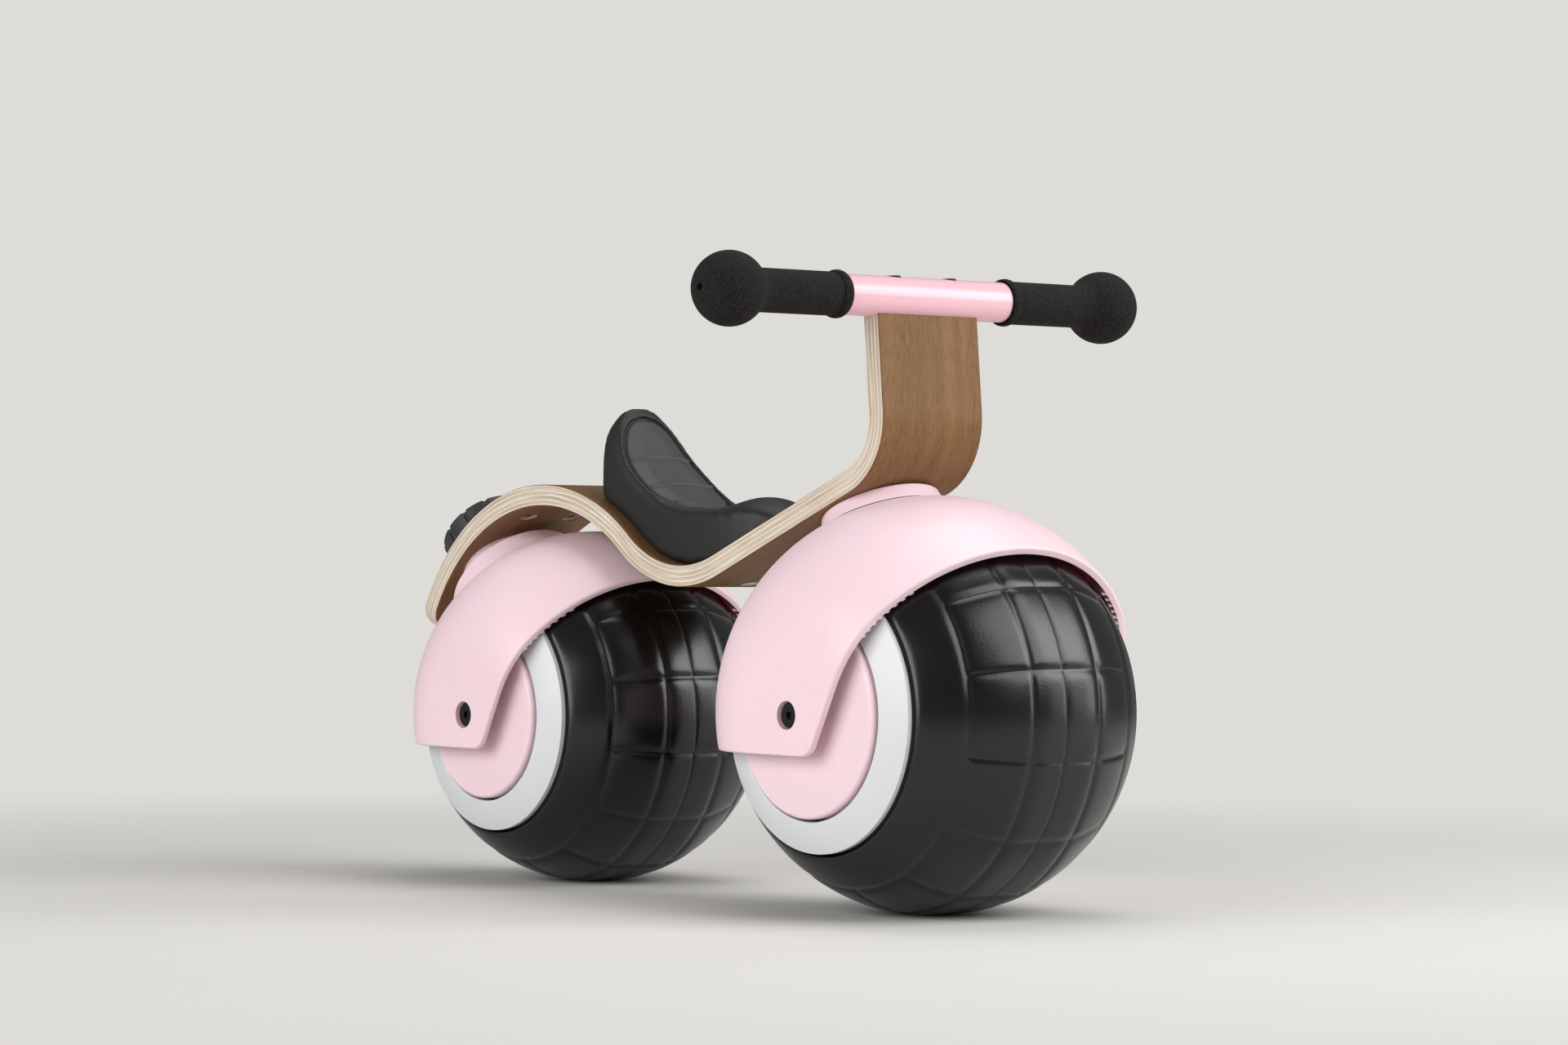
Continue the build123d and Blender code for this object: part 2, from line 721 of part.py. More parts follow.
# ================================================================ axles
def make_axle_hardware(w):
    """Axle with tapped ends, its two screws, and the spacers beside the bearings."""
    head_seat = w.leg_half - axle_head_sink - axle_head_h
    axle_end = head_seat - part_gap
    across = Plane(origin=w.centre, x_dir=(1, 0, 0), z_dir=(0, 1, 0))
    with BuildPart() as axle:
        with BuildSketch(across):
            Circle(bearing_id / 2)
        extrude(amount=axle_end, both=True)
        for turn in (0, 180):
            with BuildSketch(across.rotated((turn, 0, 0)).offset(axle_end - axle_screw_length)):
                Circle(axle_screw_d / 2 + run_fit)
            extrude(amount=axle_screw_length, mode=Mode.SUBTRACT)
    save(axle.part, f"{w.name}_axle")

    with BuildPart() as axle_bolts:
        for turn in (0, 180):
            leg = across.rotated((turn, 0, 0))
            with BuildSketch(leg.offset(head_seat)):
                Circle(axle_head_d / 2)
            extrude(amount=axle_head_h)
            with BuildSketch(leg.offset(head_seat + axle_head_h)):
                RegularPolygon(axle_socket_af / 2, 6, major_radius=False)
            extrude(amount=-axle_socket_depth, mode=Mode.SUBTRACT)
            with BuildSketch(leg.offset(head_seat)):
                Circle(axle_screw_d / 2)
            extrude(amount=-(axle_screw_length - 1))
        rims = axle_bolts.edges().filter_by(GeomType.CIRCLE)
        tops = [rim for rim in rims if abs(abs(rim.center().Y) - head_seat - axle_head_h) < run_fit]
        fillet(tops, axle_head_round)
    save(axle_bolts.part, f"{w.name}_axle_bolts")

    with BuildPart() as axle_spacers:
        outer_from = w.plate + run_fit
        outer_to = w.leg_half - leg_boss_depth - run_fit
        for turn in (0, 180):
            with BuildSketch(across.rotated((turn, 0, 0)).offset(outer_from)):
                Circle(spacer_od / 2)
                Circle(bearing_id / 2 + run_fit, mode=Mode.SUBTRACT)
            extrude(amount=outer_to - outer_from)
        with BuildSketch(across):
            Circle(spacer_od / 2)
            Circle(bearing_id / 2 + run_fit, mode=Mode.SUBTRACT)
        extrude(amount=w.plate - bearing_w - run_fit, both=True)
    save(axle_spacers.part, f"{w.name}_axle_spacers")


# ================================================================ wheels
# A foam ball tyre on a hub moulded in two bowls.  Every ring below is a half section, x out from the axle
# and y along it, turned about the axle; the right-hand piece is the left one mirrored.
def disc_rim(w):
    """Radius of the pink disc that closes the wheel's side."""
    return w.ring_r - ring_width - disc_gap


def make_tyre(w):
    seat_r = w.ball_r - tyre_wall
    side_y = sqrt(w.ball_r**2 - w.ring_r**2)
    seat_y = sqrt(seat_r**2 - w.ring_r**2)
    tread_r = w.ball_r - tread_drop
    shoulder = (tread_r + w.ring_r) / 2
    shoulder_y = sqrt(w.ball_r**2 - shoulder**2)
    with BuildPart() as tyre:
        with BuildSketch(w.section):
            with BuildLine():
                ThreePointArc((w.ring_r, side_y), (shoulder, shoulder_y), (tread_r, w.tread_half))
                Line((tread_r, w.tread_half), (tread_r, -w.tread_half))
                ThreePointArc((tread_r, -w.tread_half), (shoulder, -shoulder_y), (w.ring_r, -side_y))
                Line((w.ring_r, -side_y), (w.ring_r, -seat_y))
                ThreePointArc((w.ring_r, -seat_y), (seat_r, 0), (w.ring_r, seat_y))
                Line((w.ring_r, seat_y), (w.ring_r, side_y))
            make_face()
        revolve(axis=w.axle_axis)
    save(tyre.part, f"{w.name}_tyre")


def hub_rib_planes(w):
    """Radial planes for the ribs of a hub bowl."""
    return [w.section.rotated((0, 360 / hub_rib_count * turn, 0)) for turn in range(hub_rib_count)]


def make_hub_bowl(w, hand):
    seat_r = w.ball_r - tyre_wall - run_fit
    side_r = w.ring_r - run_fit
    seat_y = sqrt(seat_r**2 - side_r**2)
    inner_r = seat_r - hub_wall
    inner_side = side_r - hub_wall
    inner_y = sqrt(inner_r**2 - inner_side**2)
    split = part_gap / 2
    bore = bearing_od / 2
    tube = bore + hub_wall
    with BuildPart() as bowl:
        with BuildSketch(w.section):
            with BuildLine():
                Polyline(
                    (sqrt(inner_r**2 - split**2), split),
                    (sqrt(seat_r**2 - split**2), split),
                )
                ThreePointArc(
                    (sqrt(seat_r**2 - split**2), split),
                    (sqrt(seat_r**2 - seat_y**2 / 4), seat_y / 2),
                    (side_r, seat_y),
                )
                Polyline(
                    (side_r, seat_y),
                    (side_r, w.plate),
                    (bore, w.plate),
                    (bore, w.plate - bearing_w),
                    (bore - bearing_step, w.plate - bearing_w),
                    (bore - bearing_step, split),
                    (tube, split),
                    (tube, w.plate - hub_wall),
                    (inner_side, w.plate - hub_wall),
                    (inner_side, inner_y),
                )
                ThreePointArc(
                    (inner_side, inner_y),
                    (sqrt(inner_r**2 - inner_y**2 / 4), inner_y / 2),
                    (sqrt(inner_r**2 - split**2), split),
                )
            make_face()
        revolve(axis=w.axle_axis)
        rib_low = w.plate * hub_rib_foot
        for plane in hub_rib_planes(w):
            with BuildSketch(plane):
                with BuildLine():
                    Polyline(
                        (tube - hub_rib_root, rib_low),
                        (inner_side + hub_rib_root, inner_y),
                        (inner_side + hub_rib_root, w.plate - hub_rib_root),
                        (tube - hub_rib_root, w.plate - hub_rib_root),
                        close=True,
                    )
                make_face()
            extrude(amount=hub_rib_t / 2, both=True)
        if hand < 0:
            mirror(about=Plane.XZ, mode=Mode.REPLACE)
    save(bowl.part, f"{w.name}_hub_{'left' if hand > 0 else 'right'}")


def make_side_ring(w, hand):
    outer_r = w.ring_r - part_gap
    inner_r = w.ring_r - ring_width
    low_y = sqrt(w.ball_r**2 - outer_r**2)
    high_y = w.disc_half - disc_round
    with BuildPart() as side_ring:
        with BuildSketch(w.section) as shape:
            with BuildLine():
                Polyline((inner_r, high_y), (inner_r, w.plate), (outer_r, w.plate), (outer_r, low_y))
                middle = ((inner_r + outer_r) / 2, (high_y + low_y) / 2 + ring_crown)
                ThreePointArc((outer_r, low_y), middle, (inner_r, high_y))
            make_face()
            fillet(shape.vertices().group_by(Axis.Y)[-1], ring_edge_r)
        revolve(axis=w.axle_axis)
        if hand < 0:
            mirror(about=Plane.XZ, mode=Mode.REPLACE)
    save(side_ring.part, f"{w.name}_ring_{'left' if hand > 0 else 'right'}")


def make_hub_disc(w, hand):
    rim_r = disc_rim(w)
    hole_r = spacer_od / 2 + part_gap * 2
    with BuildPart() as hub_disc:
        with BuildSketch(w.section) as shape:
            with BuildLine():
                Polyline(
                    (hole_r, w.disc_half),
                    (rim_r, w.disc_half),
                    (rim_r, w.plate),
                    (rim_r - disc_skin, w.plate),
                    (rim_r - disc_skin, w.disc_half - disc_skin),
                    (hole_r, w.disc_half - disc_skin),
                    close=True,
                )
            make_face()
            fillet(shape.vertices().group_by(Axis.Y)[-1].sort_by(Axis.X)[-1], disc_round)
        revolve(axis=w.axle_axis)
        if hand < 0:
            mirror(about=Plane.XZ, mode=Mode.REPLACE)
    save(hub_disc.part, f"{w.name}_hub_disc_{'left' if hand > 0 else 'right'}")


def make_bearings(w):
    with BuildPart() as bearings:
        for turn in (0, 180):
            face = Plane(origin=w.centre, x_dir=(1, 0, 0), z_dir=(0, 1, 0)).rotated((turn, 0, 0))
            with BuildSketch(face.offset(w.plate - bearing_w)):
                Circle(bearing_od / 2)
                Circle(bearing_id / 2 + run_fit, mode=Mode.SUBTRACT)
            extrude(amount=bearing_w)
    save(bearings.part, f"{w.name}_bearings")


for w in wheel_sets:
    make_fender(w)
    make_axle_hardware(w)
    make_tyre(w)
    for hand in (1, -1):
        make_hub_bowl(w, hand)
        make_side_ring(w, hand)
        make_hub_disc(w, hand)
    make_bearings(w)


# ================================================================ handlebar
bar_axis = Axis((bar_x, 0, bar_z), (0, 1, 0))
bar_section = Plane(origin=(bar_x, 0, bar_z), x_dir=(1, 0, 0), z_dir=(0, 0, 1))
core_half = grip_ball_y - core_end_cover
head_seat_h = bar_d / 2 - bar_head_sink


def bar_up(height):
    """Plane square to the upright, at a height above the bar's axis."""
    point = (bar_x + upright_dir[0] * height, 0, bar_z + upright_dir[1] * height)
    return Plane(origin=point, x_dir=(0, 1, 0), z_dir=(upright_dir[0], 0, upright_dir[1]))


with BuildPart() as bar_core_tube:
    with BuildSketch(Plane(origin=(bar_x, 0, bar_z), x_dir=(1, 0, 0), z_dir=(0, 1, 0))):
        Circle(bar_core_d / 2)
        Circle(bar_core_d / 2 - bar_core_wall, mode=Mode.SUBTRACT)
    extrude(amount=core_half, both=True)
    with BuildSketch(bar_up(-bar_d)):
        with GridLocations(bar_screw_spacing, 0, 2, 1):
            Circle(bar_screw_d / 2 + run_fit)
    extrude(amount=2 * bar_d, mode=Mode.SUBTRACT)
save(bar_core_tube.part, "bar_core_tube")

with BuildPart() as bar_sleeve:
    with BuildSketch(Plane(origin=(bar_x, 0, bar_z), x_dir=(1, 0, 0), z_dir=(0, 1, 0))):
        Circle(bar_d / 2)
        Circle(bar_core_d / 2 + run_fit, mode=Mode.SUBTRACT)
    extrude(amount=sleeve_half, both=True)
    with BuildSketch(bar_up(-bar_d)):
        with GridLocations(bar_screw_spacing, 0, 2, 1):
            Circle(bar_screw_d / 2 + run_fit)
    extrude(amount=2 * bar_d, mode=Mode.SUBTRACT)
    with BuildSketch(bar_up(head_seat_h)):
        with GridLocations(bar_screw_spacing, 0, 2, 1):
            Circle(bar_head_d / 2 + part_gap)
    extrude(amount=bar_d, mode=Mode.SUBTRACT)
save(bar_sleeve.part, "bar_sleeve")

for hand in (1, -1):
    with BuildPart() as grip:
        bore = bar_core_d / 2 + run_fit
        start = sleeve_half + part_gap
        ball_r = grip_ball_d / 2
        neck = grip_ball_y - sqrt(ball_r**2 - (grip_d / 2) ** 2)
        end_hole = grip_end_hole_d / 2
        tip = grip_ball_y + sqrt(ball_r**2 - end_hole**2)
        with BuildSketch(bar_section) as shape:
            with BuildLine():
                Polyline(
                    (end_hole, tip),
                    (end_hole, core_half + part_gap),
                    (bore, core_half + part_gap),
                    (bore, start),
                    (grip_flange_d / 2, start),
                    (grip_flange_d / 2, start + grip_flange_w),
                    (grip_d / 2, start + grip_flange_w + grip_flange_neck),
                    (grip_d / 2, neck),
                )
                ThreePointArc((grip_d / 2, neck), (ball_r, grip_ball_y), (end_hole, tip))
            make_face()
            fillet(shape.vertices().filter_by_position(Axis.X, grip_flange_d / 2 - run_fit, ball_r), grip_flange_r)
        revolve(axis=bar_axis)
        if hand < 0:
            mirror(about=Plane.XZ, mode=Mode.REPLACE)
    save(grip.part, f"grip_{'left' if hand > 0 else 'right'}")

with BuildPart() as bar_screws:
    with BuildSketch(bar_up(head_seat_h)):
        with GridLocations(bar_screw_spacing, 0, 2, 1):
            Circle(bar_head_d / 2)
    extrude(amount=bar_head_h)
    with BuildSketch(bar_up(head_seat_h + bar_head_h)):
        with GridLocations(bar_screw_spacing, 0, 2, 1):
            RegularPolygon(bar_socket_af / 2, 6, major_radius=False)
    extrude(amount=-bar_socket_depth, mode=Mode.SUBTRACT)
    with BuildSketch(bar_up(-bar_screw_drop - bar_screw_end)):
        with GridLocations(bar_screw_spacing, 0, 2, 1):
            Circle(bar_screw_d / 2)
    extrude(amount=bar_screw_drop + bar_screw_end + head_seat_h)
save(bar_screws.part, "bar_screws")

nut_face = Plane(
    origin=(
        corner_x + upright_dir[0] * (bar_rise - bar_screw_drop),
        0,
        corner_z + upright_dir[1] * (bar_rise - bar_screw_drop),
    ),
    x_dir=(0, 1, 0),
    z_dir=(upright_ahead[0], 0, upright_ahead[1]),
)
with BuildPart() as barrel_nuts:
    with BuildSketch(nut_face.offset(barrel_nut_sink)):
        with GridLocations(bar_screw_spacing, 0, 2, 1):
            Circle(barrel_nut_d / 2)
    extrude(amount=barrel_nut_l)
    with BuildSketch(bar_up(-bar_screw_drop - barrel_nut_d)):
        with GridLocations(bar_screw_spacing, 0, 2, 1):
            Circle(bar_screw_d / 2 + run_fit)
    extrude(amount=2 * barrel_nut_d, mode=Mode.SUBTRACT)
save(barrel_nuts.part, "barrel_nuts")


# ================================================================ plywood ribbon
def valley_plane(angle, radius):
    """Plane square to the valley, facing up, at an angle from its lowest point."""
    x, z = valley_point(angle, radius)
    dx, dz = polar(angle, 1)
    return Plane(origin=(x, 0, z), x_dir=(0, 1, 0), z_dir=(-dx, 0, dz))


def hump_plane(angle, radius):
    """Plane square to the hump, facing up, at an angle from its top."""
    x, z = hump_point(angle, radius)
    dx, dz = polar(angle, 1)
    return Plane(origin=(x, 0, z), x_dir=(0, 1, 0), z_dir=(dx, 0, dz))


def saddle_screw_plane(angle, height):
    """Same, measured up from the plywood's lower face."""
    return valley_plane(angle, valley_radius + ply_thickness - height)


with BuildPart() as ply_frame:
    with BuildSketch(Plane.XZ):
        with BuildLine():
            upper = ribbon_line()
            lower = ribbon_line(-ply_thickness)
            Line(upper[0] @ 0, lower[0] @ 0)
            Line(upper[-1] @ 1, lower[-1] @ 1)
        make_face()
    extrude(amount=ply_width / 2, both=True)
    tail_edges = ply_frame.edges().filter_by(GeomType.LINE).filter_by(Axis.Y, reverse=True).sort_by(Axis.X)
    fillet(tail_edges[:2], tail_corner_r)
    side_faces = ply_frame.faces().filter_by(Plane.XZ)
    fillet(side_faces.edges(), ply_edge_round)

    # concave seat for the handlebar, and its two screws and barrel nuts
    with BuildSketch(Plane(origin=(bar_x, 0, bar_z), x_dir=(1, 0, 0), z_dir=(0, 1, 0))):
        Circle(bar_d / 2 + run_fit)
    extrude(amount=ply_width, both=True, mode=Mode.SUBTRACT)
    with BuildSketch(bar_up(0)):
        with GridLocations(bar_screw_spacing, 0, 2, 1):
            Circle(bar_screw_d / 2 + run_fit)
    extrude(amount=-bar_screw_drop - barrel_nut_d, mode=Mode.SUBTRACT)
    with BuildSketch(nut_face):
        with GridLocations(bar_screw_spacing, 0, 2, 1):
            Circle(barrel_nut_d / 2 + run_fit)
    extrude(amount=barrel_hole_l, mode=Mode.SUBTRACT)

    # bores for the pivot bushes and the collars' screws
    for w in wheel_sets:
        with BuildSketch(w.pivot(w.ply_low - ply_thickness)):
            Circle(bush_r)
        extrude(amount=3 * ply_thickness, mode=Mode.SUBTRACT)
        with BuildSketch(w.pivot(w.ply_low - ply_thickness)):
            with PolarLocations(collar_screw_radius, len(collar_screw_angles), collar_screw_angles[0]):
                Circle(collar_screw_d / 2)
        extrude(amount=screw_high(w) - w.ply_low + ply_thickness, mode=Mode.SUBTRACT)

    # saddle screws, countersunk from below, and the two inserts in the hump
    for angle in saddle_screw_angles:
        with BuildSketch(saddle_screw_plane(angle, 0)):
            Circle(saddle_screw_d)
        extrude(amount=saddle_screw_d / 2, taper=45, mode=Mode.SUBTRACT)
        with BuildSketch(saddle_screw_plane(angle, 0)):
            Circle(saddle_screw_d / 2)
        extrude(amount=ply_thickness * 1.5, mode=Mode.SUBTRACT)
    with BuildSketch(hump_plane(insert_angle, hump_radius - ply_thickness - 1)):
        with GridLocations(insert_spacing, 0, 2, 1):
            Circle(insert_mouth_d / 2)
    extrude(amount=insert_sink + 1, mode=Mode.SUBTRACT)
    with BuildSketch(hump_plane(insert_angle, hump_radius - ply_thickness + insert_sink)):
        with GridLocations(insert_spacing, 0, 2, 1):
            Circle(insert_d / 2)
    extrude(amount=insert_length, mode=Mode.SUBTRACT)
save(ply_frame.part, "ply_frame")

with BuildPart() as hump_inserts:
    with BuildSketch(hump_plane(insert_angle, hump_radius - ply_thickness + insert_sink)):
        with GridLocations(insert_spacing, 0, 2, 1):
            Circle(insert_d / 2)
            Circle(insert_hole_d / 2, mode=Mode.SUBTRACT)
    extrude(amount=insert_length)
save(hump_inserts.part, "hump_inserts")

# ================================================================ saddle
# One moulded block.  Its side view is pressed out across the width, then the backrest is rounded as seen
# from the front, and both ends as seen from above.  Its sizes are taken from the valley's centre.
dish_x = valley_x - saddle_dish_back
dish_z = valley_z - valley_radius + saddle_dish_depth + saddle_dish_r
back_x = dish_x - saddle_dish_r - saddle_back_t
back_top = dish_z + saddle_back_rise


def dish_point(angle):
    """Point on the seat's hollow, at an angle behind its lowest point."""
    dx, dz = polar(angle, saddle_dish_r)
    return dish_x - dx, dish_z - dz


def saddle_side():
    """Side view: the backrest, the hollow of the seat and the round nose, down to the plywood."""
    end_angle = radians(saddle_nose_angle)
    rise_run = saddle_nose_run * sin(end_angle)
    rise = saddle_nose_run * (1 - cos(end_angle))
    top = dish_point(saddle_top_angle)
    end = dish_point(-saddle_nose_angle)
    peak = (end[0] + rise_run, end[1] + rise)
    with BuildSketch() as side_view:
        with BuildLine():
            ThreePointArc(top, dish_point((saddle_top_angle - saddle_nose_angle) / 2), end)
            TangentArc(end, peak, tangent=(cos(end_angle), sin(end_angle)))
            nose = CenterArc((peak[0], peak[1] - saddle_nose_r), saddle_nose_r, 0, 90)
            Polyline(
                nose @ 0,
                ((nose @ 0).X, 0),
                (back_x - saddle_back_lean, 0),
                (back_x, back_top),
                (top[0], back_top),
                top,
            )
        make_face()
        corners = side_view.vertices().group_by(Axis.Y)[-1].sort_by(Axis.X)
        fillet(corners[0], saddle_back_round)
        with BuildLine():
            hump, valley, slope = seat_line(seat_gap)
            Polyline(slope @ 1, ((slope @ 1).X, -1), ((hump @ 0).X, -1), hump @ 0)
        make_face(mode=Mode.SUBTRACT)
    return side_view.sketch


with BuildPart() as saddle:
    with BuildSketch(Plane.XZ):
        add(saddle_side())
    extrude(amount=saddle_width / 2, both=True)
    nose_tip = saddle.part.bounding_box().max.X
    back_low = saddle.part.bounding_box().min.X
    with BuildSketch(Plane.YZ.offset(back_low)):
        with Locations((0, back_top - saddle_width / 2)):
            Circle(saddle_width / 2)
        with Locations((0, back_top - saddle_width / 2)):
            Rectangle(saddle_width, saddle_width * 2, align=(Align.CENTER, Align.MAX))
    extrude(amount=nose_tip - back_low, mode=Mode.INTERSECT)
    with BuildSketch(Plane.XY.offset(valley_z - 2 * valley_radius)):
        with Locations(((nose_tip + back_low) / 2, 0)):
            plan = Rectangle(nose_tip - back_low, saddle_width)
        ends = plan.vertices().sort_by(Axis.X)
        fillet(ends[2:], (saddle_width - saddle_nose_flat) / 2)
        fillet(plan.vertices().sort_by(Axis.X)[:2], saddle_rear_corner)
    extrude(amount=4 * valley_radius, mode=Mode.INTERSECT)
    for angle in saddle_screw_angles:
        with BuildSketch(saddle_screw_plane(angle, 0)):
            Circle(saddle_screw_d / 2)
        extrude(amount=ply_thickness + saddle_screw_bite, mode=Mode.SUBTRACT)
save(saddle.part, "saddle")

with BuildPart() as saddle_screws:
    for angle in saddle_screw_angles:
        with BuildSketch(saddle_screw_plane(angle, 0)):
            Circle(saddle_screw_d)
        extrude(amount=saddle_screw_d / 2, taper=45)
        with BuildSketch(saddle_screw_plane(angle, 0)):
            Circle(saddle_screw_d / 2)
        extrude(amount=ply_thickness + saddle_screw_bite - 1)
save(saddle_screws.part, "saddle_screws")

# ================================================================ rear pivot cap
with BuildPart() as rear_pivot_cap:
    base = rear.ply_high - cap_radius**2 / hump_radius
    with BuildSketch(rear.pivot(base)):
        Circle(cap_radius)
        with PolarLocations(cap_radius, cap_flutes):
            Circle(cap_flute_d / 2, mode=Mode.SUBTRACT)
    extrude(amount=rear.ply_high + cap_height - base)
    fillet(rear_pivot_cap.edges().group_by(rear.pivot_axis)[-1], cap_wall / 2)
    with BuildSketch(rear.pivot(base)):
        Circle(cap_radius - cap_wall)
    extrude(amount=rear.ply_high + cap_height - cap_wall - base, mode=Mode.SUBTRACT)
    with BuildSketch(Plane.XZ):
        with Locations((hump_x, hump_z)):
            Circle(hump_radius + run_fit)
    extrude(amount=ply_width, both=True, mode=Mode.SUBTRACT)
save(rear_pivot_cap.part, "rear_pivot_cap")
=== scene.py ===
"""Looks of a toddler balance bike: bent plywood, ball tyres, gloss fenders and a moulded foam saddle.

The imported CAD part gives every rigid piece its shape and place.  This script adds the tyres, the saddle,
the grips and the bar's screws, a finish for every material, the floor, the light and the camera.
"""

import json
import logging
import math
from dataclasses import dataclass, field
from enum import Enum
from typing import Callable, Sequence

import bmesh
import bpy
import numpy as np
from mathutils import Matrix, Vector


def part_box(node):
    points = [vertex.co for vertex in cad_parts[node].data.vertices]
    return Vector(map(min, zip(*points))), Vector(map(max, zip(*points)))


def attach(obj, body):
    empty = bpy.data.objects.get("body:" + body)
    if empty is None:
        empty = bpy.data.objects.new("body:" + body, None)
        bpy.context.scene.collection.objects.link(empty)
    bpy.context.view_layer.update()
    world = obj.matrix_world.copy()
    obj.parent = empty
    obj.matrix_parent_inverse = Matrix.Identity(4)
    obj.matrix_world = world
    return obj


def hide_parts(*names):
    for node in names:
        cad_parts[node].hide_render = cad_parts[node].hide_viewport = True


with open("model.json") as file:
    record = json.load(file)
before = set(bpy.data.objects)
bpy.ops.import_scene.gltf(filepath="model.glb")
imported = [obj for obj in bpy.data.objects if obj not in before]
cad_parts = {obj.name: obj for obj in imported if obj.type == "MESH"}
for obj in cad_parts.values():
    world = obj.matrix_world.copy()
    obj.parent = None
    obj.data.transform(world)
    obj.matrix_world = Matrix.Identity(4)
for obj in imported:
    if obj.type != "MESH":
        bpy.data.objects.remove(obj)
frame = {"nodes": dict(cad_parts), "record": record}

LOG = logging.getLogger("balance_bike")
MM = 0.001
NodeLink = bpy.types.NodeSocket
Value = float | Sequence[float] | NodeLink
Stops = Sequence[tuple[float, str]]
CLOUD_LOW, CLOUD_HIGH = 0.3, 0.7  # range that a noise texture mostly keeps to
# the panel that this attribute marks is painted paler, partly as painted light where it faces the lamps
PAD = "pad"  # the saddle's mesh attribute: 1 on its padded panel, 0 on its walls
SAME_POINT = 0.01 * MM  # points closer than this are taken as one


class Hand(Enum):
    """Side of the bike that a piece is on, as the sign of Y."""

    LEFT = 1
    RIGHT = -1


class End(Enum):
    """Which wheel a piece belongs to, as the start of its name."""

    FRONT = "front"
    REAR = "rear"


# ================================================================ frame of the bike
@dataclass(frozen=True)
class Ribbon:
    """Side view of the bent plywood, in metres: the path of its upper face."""

    thickness: float = 12.5 * MM
    hump: tuple[float, float] = (-147.067 * MM, 100.5 * MM)
    hump_radius: float = 133.0 * MM
    valley_radius: float = 77.0 * MM
    slope_degrees: float = 22.1
    slope_origin: tuple[float, float] = (161.933 * MM, 109.3 * MM)
    slope_height: float = 133.6 * MM
    bend_radius: float = 31.0 * MM
    bend_ahead: float = 41.3 * MM
    lean_degrees: float = 5.5

    @property
    def slope_dir(self) -> tuple[float, float]:
        """Unit vector up the slope, as (x, z)."""
        angle = math.radians(self.slope_degrees)
        return math.cos(angle), math.sin(angle)

    @property
    def slope_up(self) -> tuple[float, float]:
        """Unit vector square to the slope, as (x, z)."""
        return -self.slope_dir[1], self.slope_dir[0]

    @property
    def upright_dir(self) -> tuple[float, float]:
        """Unit vector up the upright, as (x, z)."""
        angle = math.radians(self.lean_degrees)
        return -math.sin(angle), math.cos(angle)

    @property
    def upright_ahead(self) -> tuple[float, float]:
        """Unit vector square to the upright, forward, as (x, z)."""
        return self.upright_dir[1], -self.upright_dir[0]

    def on_slope(self, along: float, height: float) -> tuple[float, float]:
        """Point beside the front pivot axis.

        Args:
            along: Distance up the slope from the axis.
            height: Distance square to the slope from the ball's centre.

        Returns:
            The point as (x, z).
        """
        return (
            self.slope_origin[0] + self.slope_dir[0] * along + self.slope_up[0] * height,
            self.slope_origin[1] + self.slope_dir[1] * along + self.slope_up[1] * height,
        )

    @property
    def valley(self) -> tuple[float, float]:
        """Centre of the dip under the saddle, as (x, z)."""
        x0, z0 = self.on_slope(0.0, self.slope_height + self.valley_radius)
        dx, dz = x0 - self.hump[0], z0 - self.hump[1]
        half = self.slope_dir[0] * dx + self.slope_dir[1] * dz
        reach = self.hump_radius + self.valley_radius
        along = -half + math.sqrt(half**2 - dx**2 - dz**2 + reach**2)
        return self.on_slope(along, self.slope_height + self.valley_radius)

    @property
    def turn(self) -> float:
        """Angle of the front bend, in radians."""
        return math.radians(90.0 + self.lean_degrees - self.slope_degrees)

    @property
    def bend_tangent(self) -> float:
        """Distance from the bend's corner to where it starts."""
        return self.bend_radius * math.tan(self.turn / 2)

    @property
    def corner(self) -> tuple[float, float]:
        """Corner that the front bend rounds, as (x, z)."""
        return self.on_slope(self.bend_ahead, self.slope_height)

    @property
    def bend(self) -> tuple[float, float]:
        """Centre of the front bend, as (x, z)."""
        return self.on_slope(self.bend_ahead - self.bend_tangent, self.slope_height + self.bend_radius)

    @property
    def bend_end(self) -> tuple[float, float]:
        """Where the bend runs into the upright, as (x, z)."""
        reach = self.bend_tangent
        return self.corner[0] + self.upright_dir[0] * reach, self.corner[1] + self.upright_dir[1] * reach

    def height_above(self, x: float, z: float) -> float:
        """Height of a point above the upper face, square to it, from the hump to the slope.

        Args:
            x: The point's place along the bike.
            z: The point's height.

        Returns:
            The height, below zero inside the plywood.
        """
        vx, vz = self.valley
        along = (x - vx) * self.slope_dir[0] + (z - vz) * self.slope_dir[1]
        if along > 0:
            ox, oz = self.slope_origin
            return (x - ox) * self.slope_up[0] + (z - oz) * self.slope_up[1] - self.slope_height
        hx, hz = self.hump
        side = (x - hx) * (vz - hz) - (z - hz) * (vx - hx)
        if side > 0:
            return self.valley_radius - math.hypot(x - vx, z - vz)
        return math.hypot(x - hx, z - hz) - self.hump_radius


RIBBON = Ribbon()


# ================================================================ finishes
def linear(hex_code: str) -> tuple[float, float, float, float]:
    """Turn an sRGB hex colour into linear colour.

    Args:
        hex_code: Colour such as "#f3d0d4".

    Returns:
        Linear red, green, blue and alpha.
    """
    parts = [int(hex_code[place : place + 2], 16) / 255 for place in (1, 3, 5)]
    bent = [part / 12.92 if part <= 0.04045 else ((part + 0.055) / 1.055) ** 2.4 for part in parts]
    return bent[0], bent[1], bent[2], 1.0


